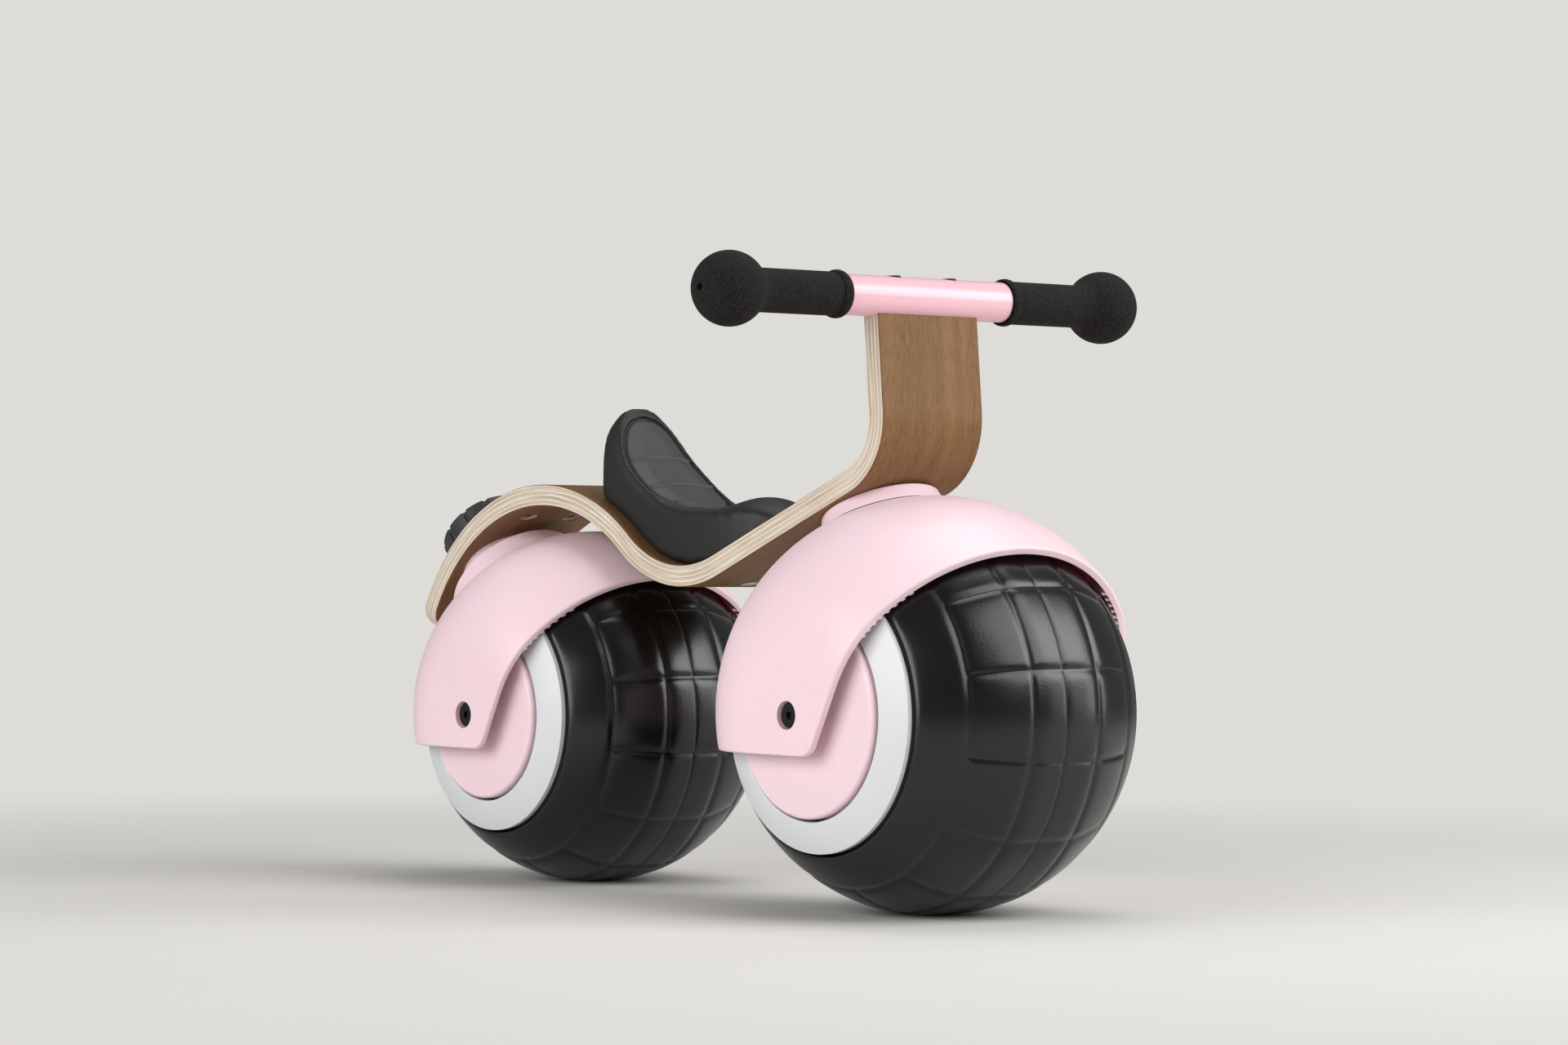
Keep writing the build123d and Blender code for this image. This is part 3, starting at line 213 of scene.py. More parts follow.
def add_node(
    tree: bpy.types.NodeTree,
    kind: str,
    inputs: dict[str | int, Value],
    out: str | int = 0,
    stops: Stops = (),
    **settings: object,
) -> NodeLink:
    """Add one shader node with its settings, values and links.

    Args:
        tree: Node tree that gets the node.
        kind: Blender's name of the node type, from after ShaderNode.
        inputs: Value, or socket to link from, for each input by name or number.
        out: Which output is wanted, by name or number.
        stops: Position and sRGB hex colour of each stop, for a node with a colour ramp.
        **settings: Properties of the node itself.

    Returns:
        The wanted output, or the first input of a node that has no output.
    """
    node = tree.nodes.new(f"ShaderNode{kind}")
    for name, setting in settings.items():
        setattr(node, name, setting)
    for number, (place, colour) in enumerate(stops):
        elements = node.color_ramp.elements
        element = elements[number] if number < len(elements) else elements.new(place)
        element.position = place
        element.color = linear(colour)
    for name, value in inputs.items():
        if isinstance(value, bpy.types.NodeSocket):
            tree.links.new(value, node.inputs[name])
        else:
            node.inputs[name].default_value = value
    return node.outputs[out] if node.outputs else node.inputs[0]


@dataclass(frozen=True)
class Finish:
    """One real material.  Subclasses draw their own pattern in paint."""

    name: str
    colour: str
    roughness: float
    ior: float = 1.5
    metallic: float = 0.0
    specular: float = 0.5
    coat: float = 0.0
    coat_roughness: float = 0.05
    subsurface: float = 0.0
    subsurface_reach: float = 4.0 * MM
    subsurface_spread: tuple[float, float, float] = (1.0, 0.35, 0.3)
    clouds_per_m: float = 22.0
    variation: float = 0.04
    roughness_change: float = 0.08
    grain_mm: float = 0.6
    grain_depth: float = 0.0

    def paint(self, tree: bpy.types.NodeTree, place: NodeLink) -> dict[str, NodeLink]:
        """Give the surface its slight unevenness and its grain.

        Args:
            tree: The material's node tree.
            place: Object coordinates.

        Returns:
            What feeds each painted input of the shader.
        """
        cloud = add_node(tree, "TexNoise", {"Vector": place, "Scale": self.clouds_per_m, "Detail": 3.0})
        spread = {"Value": cloud, "From Min": CLOUD_LOW, "From Max": CLOUD_HIGH}
        shade = add_node(tree, "MapRange", {**spread, "To Min": 1 - self.variation, "To Max": 1.0})
        smoothest = self.roughness * (1 - self.roughness_change)
        roughest = self.roughness * (1 + self.roughness_change)
        rough = add_node(tree, "MapRange", {**spread, "To Min": smoothest, "To Max": roughest})
        tint = add_node(tree, "HueSaturation", {"Color": linear(self.colour), "Value": shade})
        painted = {"Base Color": tint, "Roughness": rough}
        if self.grain_depth:
            size = self.grain_mm * MM
            fine = {"Vector": place, "Scale": 1 / (size * 2), "Detail": 2.0, "Roughness": 0.6}
            grain = add_node(tree, "TexNoise", fine)
            relief = {"Height": grain, "Strength": self.grain_depth, "Distance": size}
            painted["Normal"] = add_node(tree, "Bump", relief)
        return painted

    def build(self) -> bpy.types.Material:
        """Make the Blender material.

        Returns:
            The material, with a Principled shader painted by this finish.
        """
        material = bpy.data.materials.new(self.name)
        material.use_nodes = True
        tree = material.node_tree
        tree.nodes.clear()
        place = add_node(tree, "TexCoord", {}, out="Object")
        inputs = {
            "Roughness": self.roughness,
            "Metallic": self.metallic,
            "IOR": self.ior,
            "Specular IOR Level": self.specular,
            "Coat Weight": self.coat,
            "Coat Roughness": self.coat_roughness,
            "Subsurface Weight": self.subsurface,
            "Subsurface Radius": self.subsurface_spread,
            "Subsurface Scale": self.subsurface_reach,
        }
        surface = add_node(tree, "BsdfPrincipled", inputs | self.paint(tree, place))
        surface.node.inputs["Base Color"].default_value = linear(self.colour)
        add_node(tree, "OutputMaterial", {"Surface": surface})
        return material


@dataclass(frozen=True)
class SpeckledFoam(Finish):
    """Cut closed-cell foam: open cells on the skin catch the light as pale specks."""

    cell_mm: float = 0.7
    cell_pitch_mm: float = 0.98
    blotches_per_m: float = 900.0
    cell_colour: str = "#24211f"

    def paint(self, tree: bpy.types.NodeTree, place: NodeLink) -> dict[str, NodeLink]:
        """Colour the cells and raise their walls.

        Args:
            tree: The material's node tree.
            place: Object coordinates.

        Returns:
            What feeds each painted input of the shader.
        """
        cells = add_node(tree, "TexVoronoi", {"Vector": place, "Scale": 1 / (self.cell_pitch_mm * MM)})
        blotches = {"Vector": place, "Scale": self.blotches_per_m, "Detail": 4.0}
        blotch = add_node(tree, "TexNoise", blotches)
        walls = add_node(tree, "Math", {0: cells, 1: blotch}, operation="MULTIPLY")
        stops = ((0.12, self.colour), (0.42, self.cell_colour))
        relief = {"Height": walls, "Strength": self.grain_depth, "Distance": self.cell_mm * MM}
        return {
            "Base Color": add_node(tree, "ValToRGB", {"Fac": walls}, stops=stops),
            "Normal": add_node(tree, "Bump", relief),
        }


@dataclass(frozen=True)
class PaddedSkin(Finish):
    """Moulded foam skin, dark on the walls and paler on the seat's panel: partly its finer texture, partly
    painted light where the panel faces the lamps.
    """

    panel_grain_and_light_colour: str = "#3c3c40"

    def paint(self, tree: bpy.types.NodeTree, place: NodeLink) -> dict[str, NodeLink]:
        """Lighten the panel, which the mesh marks in an attribute: painted light where it faces the lamps,
        on top of its finer texture.

        Args:
            tree: The material's node tree.
            place: Object coordinates.

        Returns:
            What feeds each painted input of the shader.
        """
        painted = super().paint(tree, place)
        pad = add_node(tree, "Attribute", {}, out="Fac", attribute_name=PAD)
        # painted light: the panel's paler colour stands partly for the lamps falling on it, partly for its
        # finer skin
        colours = {"Factor": pad, "A": painted["Base Color"], "B": linear(self.panel_grain_and_light_colour)}
        return painted | {"Base Color": add_node(tree, "Mix", colours, out="Result", data_type="RGBA")}


@dataclass(frozen=True)
class BirchPlywood(Finish):
    """Bent birch plywood with a brown face veneer, lacquered.  The plies show on every cut edge."""

    plies: int = 9
    veneer_mm: float = 0.55
    waver_mm: float = 0.6
    wavers_per_m: float = 14.0
    fibres_along_per_m: float = 34.0
    fibres_per_m: float = 1300.0
    pores_per_m: tuple[float, float, float] = (120.0, 1500.0, 120.0)
    bands_per_m: tuple[float, float, float] = (5.0, 90.0, 5.0)
    band_share: float = 0.45
    pore_mm: float = 0.25
    pore_depth: float = 0.25
    ribbon: Ribbon = field(default=RIBBON)
    long_ply: Stops = ((0.32, "#c9b9a2"), (0.5, "#ded3c4"), (0.66, "#f0eae1"))
    cross_ply: Stops = ((0.32, "#b09a80"), (0.5, "#cbbba5"), (0.66, "#e0d5c5"))
    glue_colour: str = "#9c8568"
    glue_line: Stops = ((0.0, "#000000"), (0.05, "#000000"), (0.14, "#ffffff"), (0.92, "#ffffff"))
    pore_colours: Stops = ((0.34, "#4a311a"), (0.5, "#7e5b39"), (0.72, "#94704a"))
    band_colours: Stops = ((0.35, "#70502f"), (0.65, "#8e6a43"))

    def depth(self, tree: bpy.types.NodeTree, place: NodeLink) -> NodeLink:
        """Depth below the upper face, in metres, followed round every bend.

        Args:
            tree: The material's node tree.
            place: Object coordinates.

        Returns:
            Socket with the depth.
        """
        r = self.ribbon
        side = add_node(tree, "VectorMath", {0: place, 1: (1.0, 0.0, 1.0)}, operation="MULTIPLY")
        from_hump, from_valley, from_bend = (
            add_node(tree, "VectorMath", {0: side, 1: (x, 0.0, z)}, out="Value", operation="DISTANCE")
            for x, z in (r.hump, r.valley, r.bend)
        )
        ahead_by, up_by = r.valley[0] - r.hump[0], r.valley[1] - r.hump[1]
        span = math.hypot(ahead_by, up_by)
        # distance past each line: four lines start a stretch, and two run along a straight one's face
        lines = []
        for (x, z), (dx, dz) in (
            (r.hump, (up_by / span, -ahead_by / span)),
            (r.valley, r.slope_dir),
            (r.bend, r.slope_dir),
            (r.bend_end, r.upright_dir),
            (r.slope_origin, r.slope_up),
            (r.corner, r.upright_ahead),
        ):
            way = {0: side, 1: (dx, 0.0, dz)}
            reach = add_node(tree, "VectorMath", way, out="Value", operation="DOT_PRODUCT")
            lines.append(add_node(tree, "Math", {0: reach, 1: x * dx + z * dz}, operation="SUBTRACT"))
        to_dip, to_slope, to_bend, to_upright, height, ahead = lines
        depth = add_node(tree, "Math", {0: r.hump_radius, 1: from_hump}, operation="SUBTRACT")
        for gate, high, low in (
            (to_dip, from_valley, r.valley_radius),
            (to_slope, r.slope_height, height),
            (to_bend, from_bend, r.bend_radius),
            (to_upright, ahead, 0.0),
        ):
            past = add_node(tree, "Math", {0: gate, 1: 0.0}, operation="GREATER_THAN")
            value = add_node(tree, "Math", {0: high, 1: low}, operation="SUBTRACT")
            depth = add_node(tree, "Mix", {"Factor": past, "A": depth, "B": value}, out="Result")
        return depth

    def core(self, tree: bpy.types.NodeTree, place: NodeLink, depth: NodeLink) -> NodeLink:
        """Colour of the plies and of the glue between them.

        Args:
            tree: The material's node tree.
            place: Object coordinates.
            depth: Depth below the upper face.

        Returns:
            Socket with the colour.
        """
        wander = add_node(tree, "TexNoise", {"Vector": place, "Scale": self.wavers_per_m, "Detail": 2.0})
        reach = self.waver_mm * MM
        waver = add_node(tree, "MapRange", {"Value": wander, "To Min": -reach, "To Max": reach})
        level = add_node(tree, "Math", {0: depth, 1: waver}, operation="ADD")
        plies_per_m = self.plies / self.ribbon.thickness
        share = add_node(tree, "Math", {0: level, 1: plies_per_m}, operation="MULTIPLY")
        ply = add_node(tree, "Math", {0: share}, operation="FLOOR")
        within = add_node(tree, "Math", {0: share}, operation="FRACT")
        odd = add_node(tree, "Math", {0: ply, 1: 2.0}, operation="FLOORED_MODULO")
        # fibres lie along the ribbon: slow change along it, quick change from ply to ply
        stretch = (self.fibres_along_per_m, 0.0, self.fibres_along_per_m)
        along = add_node(tree, "VectorMath", {0: place, 1: stretch}, operation="MULTIPLY")
        across = add_node(tree, "Math", {0: depth, 1: self.fibres_per_m}, operation="MULTIPLY")
        layer = add_node(tree, "CombineXYZ", {"Y": across})
        fibres = add_node(tree, "VectorMath", {0: along, 1: layer}, operation="ADD")
        sawn = {"Vector": fibres, "Scale": 1.0, "Detail": 4.0, "Roughness": 0.6}
        grain = {"Fac": add_node(tree, "TexNoise", sawn)}
        # every other ply runs across the ribbon, so it shows end grain and looks darker
        long_ply = add_node(tree, "ValToRGB", grain, stops=self.long_ply)
        cross_ply = add_node(tree, "ValToRGB", grain, stops=self.cross_ply)
        plies = {"Factor": odd, "A": long_ply, "B": cross_ply}
        wood = add_node(tree, "Mix", plies, out="Result", data_type="RGBA")
        glued = add_node(tree, "ValToRGB", {"Fac": within}, stops=self.glue_line)
        layers = {"Factor": glued, "A": linear(self.glue_colour), "B": wood}
        return add_node(tree, "Mix", layers, out="Result", data_type="RGBA")

    def paint(self, tree: bpy.types.NodeTree, place: NodeLink) -> dict[str, NodeLink]:
        """Lay the plies by depth, with veneer on both faces: fine pores along it and slow darker bands.

        Args:
            tree: The material's node tree.
            place: Object coordinates.

        Returns:
            What feeds each painted input of the shader.
        """
        depth = self.depth(tree, place)
        core = self.core(tree, place, depth)
        heights, colours = [], []
        for scale, detail, roughness, stops in (
            (self.pores_per_m, 6.0, 0.7, self.pore_colours),
            (self.bands_per_m, 3.0, 0.5, self.band_colours),
        ):
            drawn = add_node(tree, "Mapping", {"Vector": place, "Scale": scale})
            wood = {"Vector": drawn, "Scale": 1.0, "Detail": detail, "Roughness": roughness}
            heights.append(add_node(tree, "TexNoise", wood))
            colours.append(add_node(tree, "ValToRGB", {"Fac": heights[-1]}, stops=stops))
        both = {"Factor": self.band_share, "A": colours[0], "B": colours[1]}
        veneer = add_node(tree, "Mix", both, out="Result", data_type="RGBA")
        half = self.ribbon.thickness / 2
        middle = add_node(tree, "Math", {0: depth, 1: half}, operation="SUBTRACT")
        from_middle = add_node(tree, "Math", {0: middle}, operation="ABSOLUTE")
        inner = half - self.veneer_mm * MM
        skin = add_node(tree, "Math", {0: from_middle, 1: inner}, operation="GREATER_THAN")
        layers = {"Factor": skin, "A": core, "B": veneer}
        relief = {"Height": heights[0], "Strength": self.pore_depth, "Distance": self.pore_mm * MM}
        return {
            "Base Color": add_node(tree, "Mix", layers, out="Result", data_type="RGBA"),
            "Normal": add_node(tree, "Bump", relief),
        }


@dataclass(frozen=True)
class Palette:
    """Every finish on the bike, by the record's material slot."""

    finishes: tuple[tuple[str, Finish], ...] = (
        # birch under thin satin lacquer: half matt, brown on its faces, with pale plies on every edge
        ("birch_ply", BirchPlywood("lacquered birch plywood", "#e9dcc4", 0.5, specular=0.22)),
        # integral-skin polyurethane foam, moulded: a fine matt skin, dark grey
        (
            "saddle_skin",
            PaddedSkin(
                "moulded polyurethane foam skin",
                "#1d1e1c",
                0.5,
                specular=0.4,
                grain_mm=0.5,
                grain_depth=0.22,
            ),
        ),
        # foam cut and ground to shape: no gloss, near black, with open cells as specks
        ("grip_foam", SpeckledFoam("cut EVA foam", "#050504", 0.85, specular=0.25, grain_depth=0.7)),
        # injection-moulded ABS from a polished mould: soft even gloss, and a glow where its wall is thin
        (
            "pink_gloss",
            Finish(
                "polished ABS, pale pink", "#f2d6dd", 0.38, ior=1.48, variation=0.02, subsurface=0.35
            ),
        ),
        # powder coat on steel tube: a thin hard gloss, which draws one long highlight along the bar
        (
            "pink_paint",
            Finish("powder-coated tube, pale pink", "#edbcc7", 0.22, coat=0.1, variation=0.02),
        ),
        # ABS from a finely blasted mould: cool white with a broad highlight
        (
            "white_gloss",
            Finish("moulded ABS, white", "#d8dadd", 0.34, ior=1.53, grain_mm=0.4, grain_depth=0.05),
        ),
        # blown polyurethane tyre: black with a satin mould skin
        (
            "tyre_black",
            Finish("blown polyurethane tyre", "#040404", 0.26, ior=1.52, grain_mm=0.8, grain_depth=0.08),
        ),
        # polypropylene: waxy mid grey, a dull shine
        ("hub_plastic", Finish("moulded polypropylene, grey", "#4a4a4c", 0.5, grain_depth=0.1)),
        # nylon from an etched mould: charcoal, slightly rough
        (
            "black_plastic",
            Finish("moulded nylon, charcoal", "#2c2d2e", 0.45, grain_mm=0.5, grain_depth=0.12),
        ),
        # zinc plate: bright metal, a little frosted
        ("steel", Finish("zinc-plated steel", "#b9bbbd", 0.32, metallic=1.0, grain_depth=0.05)),
        # black oxide, oiled: dark metal with a soft shine
        ("black_steel", Finish("black-oxide steel", "#202021", 0.35, metallic=0.6, grain_depth=0.05)),
        # turned brass: yellow metal, its tool marks too fine to show
        ("brass", Finish("turned brass", "#b9975b", 0.35, metallic=1.0, grain_depth=0.05)),
        # turned acetal: creamy white and smooth
        ("bush_plastic", Finish("turned acetal", "#dedcd2", 0.4)),
    )

    def build(self) -> dict[str, bpy.types.Material]:
        """Make every material.

        Returns:
            Materials by slot name.
        """
        return {slot: finish.build() for slot, finish in self.finishes}


# ================================================================ making meshes
def select_only(piece: bpy.types.Object) -> None:
    """Select one piece alone and make it the active one."""
    bpy.ops.object.select_all(action="DESELECT")
    piece.select_set(True)
    bpy.context.view_layer.objects.active = piece


def start_edit(piece: bpy.types.Object) -> None:
    """Edit one piece, with nothing in it selected."""
    select_only(piece)
    bpy.ops.object.mode_set(mode="EDIT")
    bpy.ops.mesh.select_all(action="DESELECT")


def end_edit() -> None:
    """Leave edit mode."""
    bpy.ops.object.mode_set(mode="OBJECT")


def select_edges(piece: bpy.types.Object, wanted: Callable[[Vector, Vector], bool]) -> None:
    """Select edges by their ends, from edit mode.

    Args:
        piece: The piece being edited.
        wanted: Test on an edge's two ends.
    """
    bpy.ops.mesh.select_mode(type="EDGE")
    bpy.ops.mesh.select_all(action="DESELECT")
    shape = bmesh.from_edit_mesh(piece.data)
    for edge in shape.edges:
        edge.select = wanted(edge.verts[0].co, edge.verts[1].co)
    shape.select_flush(True)
    bmesh.update_edit_mesh(piece.data)


def apply_modifier(piece: bpy.types.Object, kind: str, **settings: object) -> None:
    """Add one modifier to a piece and apply it at once.

    Args:
        piece: Piece to change.
        kind: Blender's modifier type.
        **settings: The modifier's properties.
    """
    select_only(piece)
    modifier = piece.modifiers.new(kind.lower(), kind)
    for name, setting in settings.items():
        setattr(modifier, name, setting)
    bpy.ops.object.modifier_apply(modifier=modifier.name)


def outline_loop(
    name: str, points: Sequence[tuple[float, float, float]], filled: bool
) -> bpy.types.Object:
    """Start a piece from a circle primitive whose corners are moved to a closed outline.

    Args:
        name: Name of the piece.
        points: Corners of the outline, in metres.
        filled: Whether the outline is one face.

    Returns:
        The new piece, at the origin.
    """
    bpy.ops.object.select_all(action="DESELECT")
    fill = "NGON" if filled else "NOTHING"
    bpy.ops.mesh.primitive_circle_add(vertices=len(points), fill_type=fill, location=(0.0, 0.0, 0.0))
    piece = bpy.context.active_object
    piece.name = name
    piece.data.name = name
    for vertex, point in zip(piece.data.vertices, points):
        vertex.co = point
    return piece


def lathe(
    name: str, profile: Sequence[tuple[float, float]], centre: Vector, steps: int
) -> bpy.types.Object:
    """Turn a closed profile about an axle along Y.

    Args:
        name: Name of the piece.
        profile: Corners of the section, as (radius, place along the axle).
        centre: Point on the axle.
        steps: Number of stations round the turn.

    Returns:
        The turned piece.
    """
    points = [(centre.x + radius, centre.y + along, centre.z) for radius, along in profile]
    piece = outline_loop(name, points, filled=False)
    start_edit(piece)
    bpy.ops.mesh.select_all(action="SELECT")
    bpy.ops.mesh.spin(steps=steps, angle=2 * math.pi, center=centre, axis=(0.0, 1.0, 0.0))
    bpy.ops.mesh.select_all(action="SELECT")
    bpy.ops.mesh.remove_doubles(threshold=SAME_POINT)
    bpy.ops.mesh.normals_make_consistent(inside=False)
    end_edit()
    bpy.ops.object.shade_smooth()
    return piece


def dress(piece: bpy.types.Object, slot: str, materials: dict[str, bpy.types.Material]) -> None:
    """Give a new piece the material of its slot."""
    piece.data.materials.clear()
    piece.data.materials.append(materials[slot])


# ================================================================ tyres
@dataclass
class BallTyre:
    """Ball tyre with its moulded grid of grooves and the fine seam of the mould, angles in degrees."""

    end: End
    ball: float
    rim: float
    drop: float = 1.2 * MM
    wall: float = 12.0 * MM
    stations: tuple[float, ...] = (0.0, 3.8, 7.9, 12.2, 16.5, 21.0, 26.0, 31.0, 35.0, 39.0, 43.5)
    station_gap: float = 1.5
    inner_stations: int = 5
    lines: tuple[float, ...] = (-31.0, -12.2, 12.2, 31.0)
    seam: float = -0.8
    count: int = 14
    first_angle: float = 50.4
    steps_between: int = 6
    groove_half: float = 2.4 * MM
    groove_depth: float = 1.5 * MM
    seam_half: float = 0.55 * MM
    seam_depth: float = 0.7 * MM
    tread: float = 0.97
    line_near: float = 0.3
    spoke_near: float = 0.2
    spoke_past: float = 0.5
    pressed_near: float = 0.25
    seam_near: float = 0.05
    centre: Vector = field(init=False)

    def __post_init__(self) -> None:
        """Take the middle of the wheel from the CAD tyre."""
        low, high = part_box(f"{self.end.value}_tyre")
        self.centre = (low + high) / 2

    def angles(self, point: Vector) -> tuple[float, float, float]:
        """Place of a point on the ball.

        Args:
            point: Point in the bike's frame.

        Returns:
            Latitude from the middle plane, angle ahead of the vertical, and distance from the centre.
        """
        offset = point - self.centre
        latitude = math.degrees(math.atan2(offset.y, math.hypot(offset.x, offset.z)))
        return latitude, math.degrees(math.atan2(offset.x, offset.z)), offset.length

    def off_spoke(self, angle: float) -> float:
        """Degrees from the nearest groove that runs across the tread."""
        pitch = 360.0 / self.count
        return abs((angle - self.first_angle + pitch / 2) % pitch - pitch / 2)

    def profile(self) -> list[tuple[float, float]]:
        """Section of the tyre, from one rim over the tread to the other and back inside.

        Returns:
            Corners as (radius, place along the axle).
        """
        edge = math.degrees(math.acos(self.rim / self.ball))
        half = [station for station in self.stations if station < edge - self.station_gap] + [edge]
        latitudes = [-station for station in reversed(half[1:])] + [self.seam] + half[1:]
        section = []
        for latitude in latitudes:
            radius = min(self.ball * math.cos(math.radians(latitude)), self.ball - self.drop)
            section.append((radius, self.ball * math.sin(math.radians(latitude))))
        inner = self.ball - self.wall
        for step in range(self.inner_stations):
            along = (1 - 2 * step / (self.inner_stations - 1)) * math.sqrt(inner**2 - self.rim**2)
            section.append((math.sqrt(inner**2 - along**2), along))
        return section

    def on_line(self, a: Vector, b: Vector, latitude: float) -> bool:
        """Whether an edge lies along a line round the tread.

        Args:
            a: One end of the edge.
            b: The other end.
            latitude: Latitude of the line.

        Returns:
            True if both ends are on the line.
        """
        return all(
            abs(place - latitude) < self.line_near and length > self.ball * self.tread
            for place, _, length in (self.angles(a), self.angles(b))
        )

    def grooved(self, a: Vector, b: Vector) -> bool:
        """Whether an edge lies along any groove.

        Args:
            a: One end of the edge.
            b: The other end.

        Returns:
            True if a groove follows the edge.
        """
        if any(self.on_line(a, b, line) for line in self.lines):
            return True
        return all(
            abs(latitude) < self.lines[-1] + self.spoke_past
            and self.off_spoke(angle) < self.spoke_near
            and length > self.ball * self.tread
            for latitude, angle, length in (self.angles(a), self.angles(b))
        )

    def press(self, piece: bpy.types.Object) -> None:
        """Sink the middle of each groove, and of the seam, below the tread.

        Args:
            piece: The tyre, with its grooves' edges bevelled.
        """
        for vertex in piece.data.vertices:
            latitude, angle, length = self.angles(vertex.co)
            if length < self.ball * self.tread:
                continue
            along_line = min(abs(latitude - line) for line in self.lines) < self.pressed_near
            across = self.off_spoke(angle) < self.pressed_near and abs(latitude) < self.lines[-1]
            outward = (vertex.co - self.centre).normalized()
            if along_line or across:
                vertex.co -= outward * self.groove_depth
            elif abs(latitude - self.seam) < self.seam_near:
                vertex.co -= outward * self.seam_depth

    def build(self, materials: dict[str, bpy.types.Material]) -> bpy.types.Object:
        """Model the tyre: turn its section, and press in the grooves and the seam.

        Args:
            materials: Materials by slot.

        Returns:
            The finished tyre.
        """
        name = f"{self.end.value}_tyre_skin"
        piece = lathe(name, self.profile(), self.centre, self.count * self.steps_between)
        turn = Matrix.Rotation(math.radians(self.first_angle - 90.0), 4, "Y")
        piece.data.transform(Matrix.Translation(self.centre) @ turn @ Matrix.Translation(-self.centre))
        start_edit(piece)
        select_edges(piece, self.grooved)
        bpy.ops.mesh.bevel(offset=self.groove_half, segments=2, profile=0.5, affect="EDGES")
        select_edges(piece, lambda a, b: self.on_line(a, b, self.seam))
        bpy.ops.mesh.bevel(offset=self.seam_half, segments=2, profile=0.5, affect="EDGES")
        end_edit()
        self.press(piece)
        apply_modifier(piece, "SUBSURF", levels=2, render_levels=2)
        bpy.ops.object.shade_smooth()
        dress(piece, "tyre_black", materials)
        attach(piece, f"{self.end.value}_wheel")
        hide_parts(f"{self.end.value}_tyre")
        return piece


# ================================================================ saddle
def smooth(share: np.ndarray) -> np.ndarray:
    """Smooth step from 0 to 1."""
    t = np.clip(share, 0.0, 1.0)
    return t * t * (3 - 2 * t)


def hump(share: np.ndarray) -> np.ndarray:
    """Smooth rise and fall, 1 at 0 and 0 beyond 1."""
    t = np.minimum(np.abs(share), 1.0)
    return (1 - t * t) ** 2


def through(points: Sequence[tuple[float, float]], steps: int) -> np.ndarray:
    """Smooth curve through points given in millimetres.

    Args:
        points: The points, in order.
        steps: Stations between two points.

    Returns:
        Stations along the curve, in metres.
    """
    knots = np.array(points, float) * MM
    last = len(knots) - 1
    stations = []
    for number in range(last):
        before, start = knots[max(number - 1, 0)], knots[number]
        end, after = knots[number + 1], knots[min(number + 2, last)]
        for step in range(steps):
            t = step / steps
            stations.append(
                0.5
                * (
                    2 * start
                    + (end - before) * t
                    + (2 * before - 5 * start + 4 * end - after) * t**2
                    + (3 * start - before - 3 * end + after) * t**3
                )
            )
    stations.append(knots[last])
    return np.array(stations)


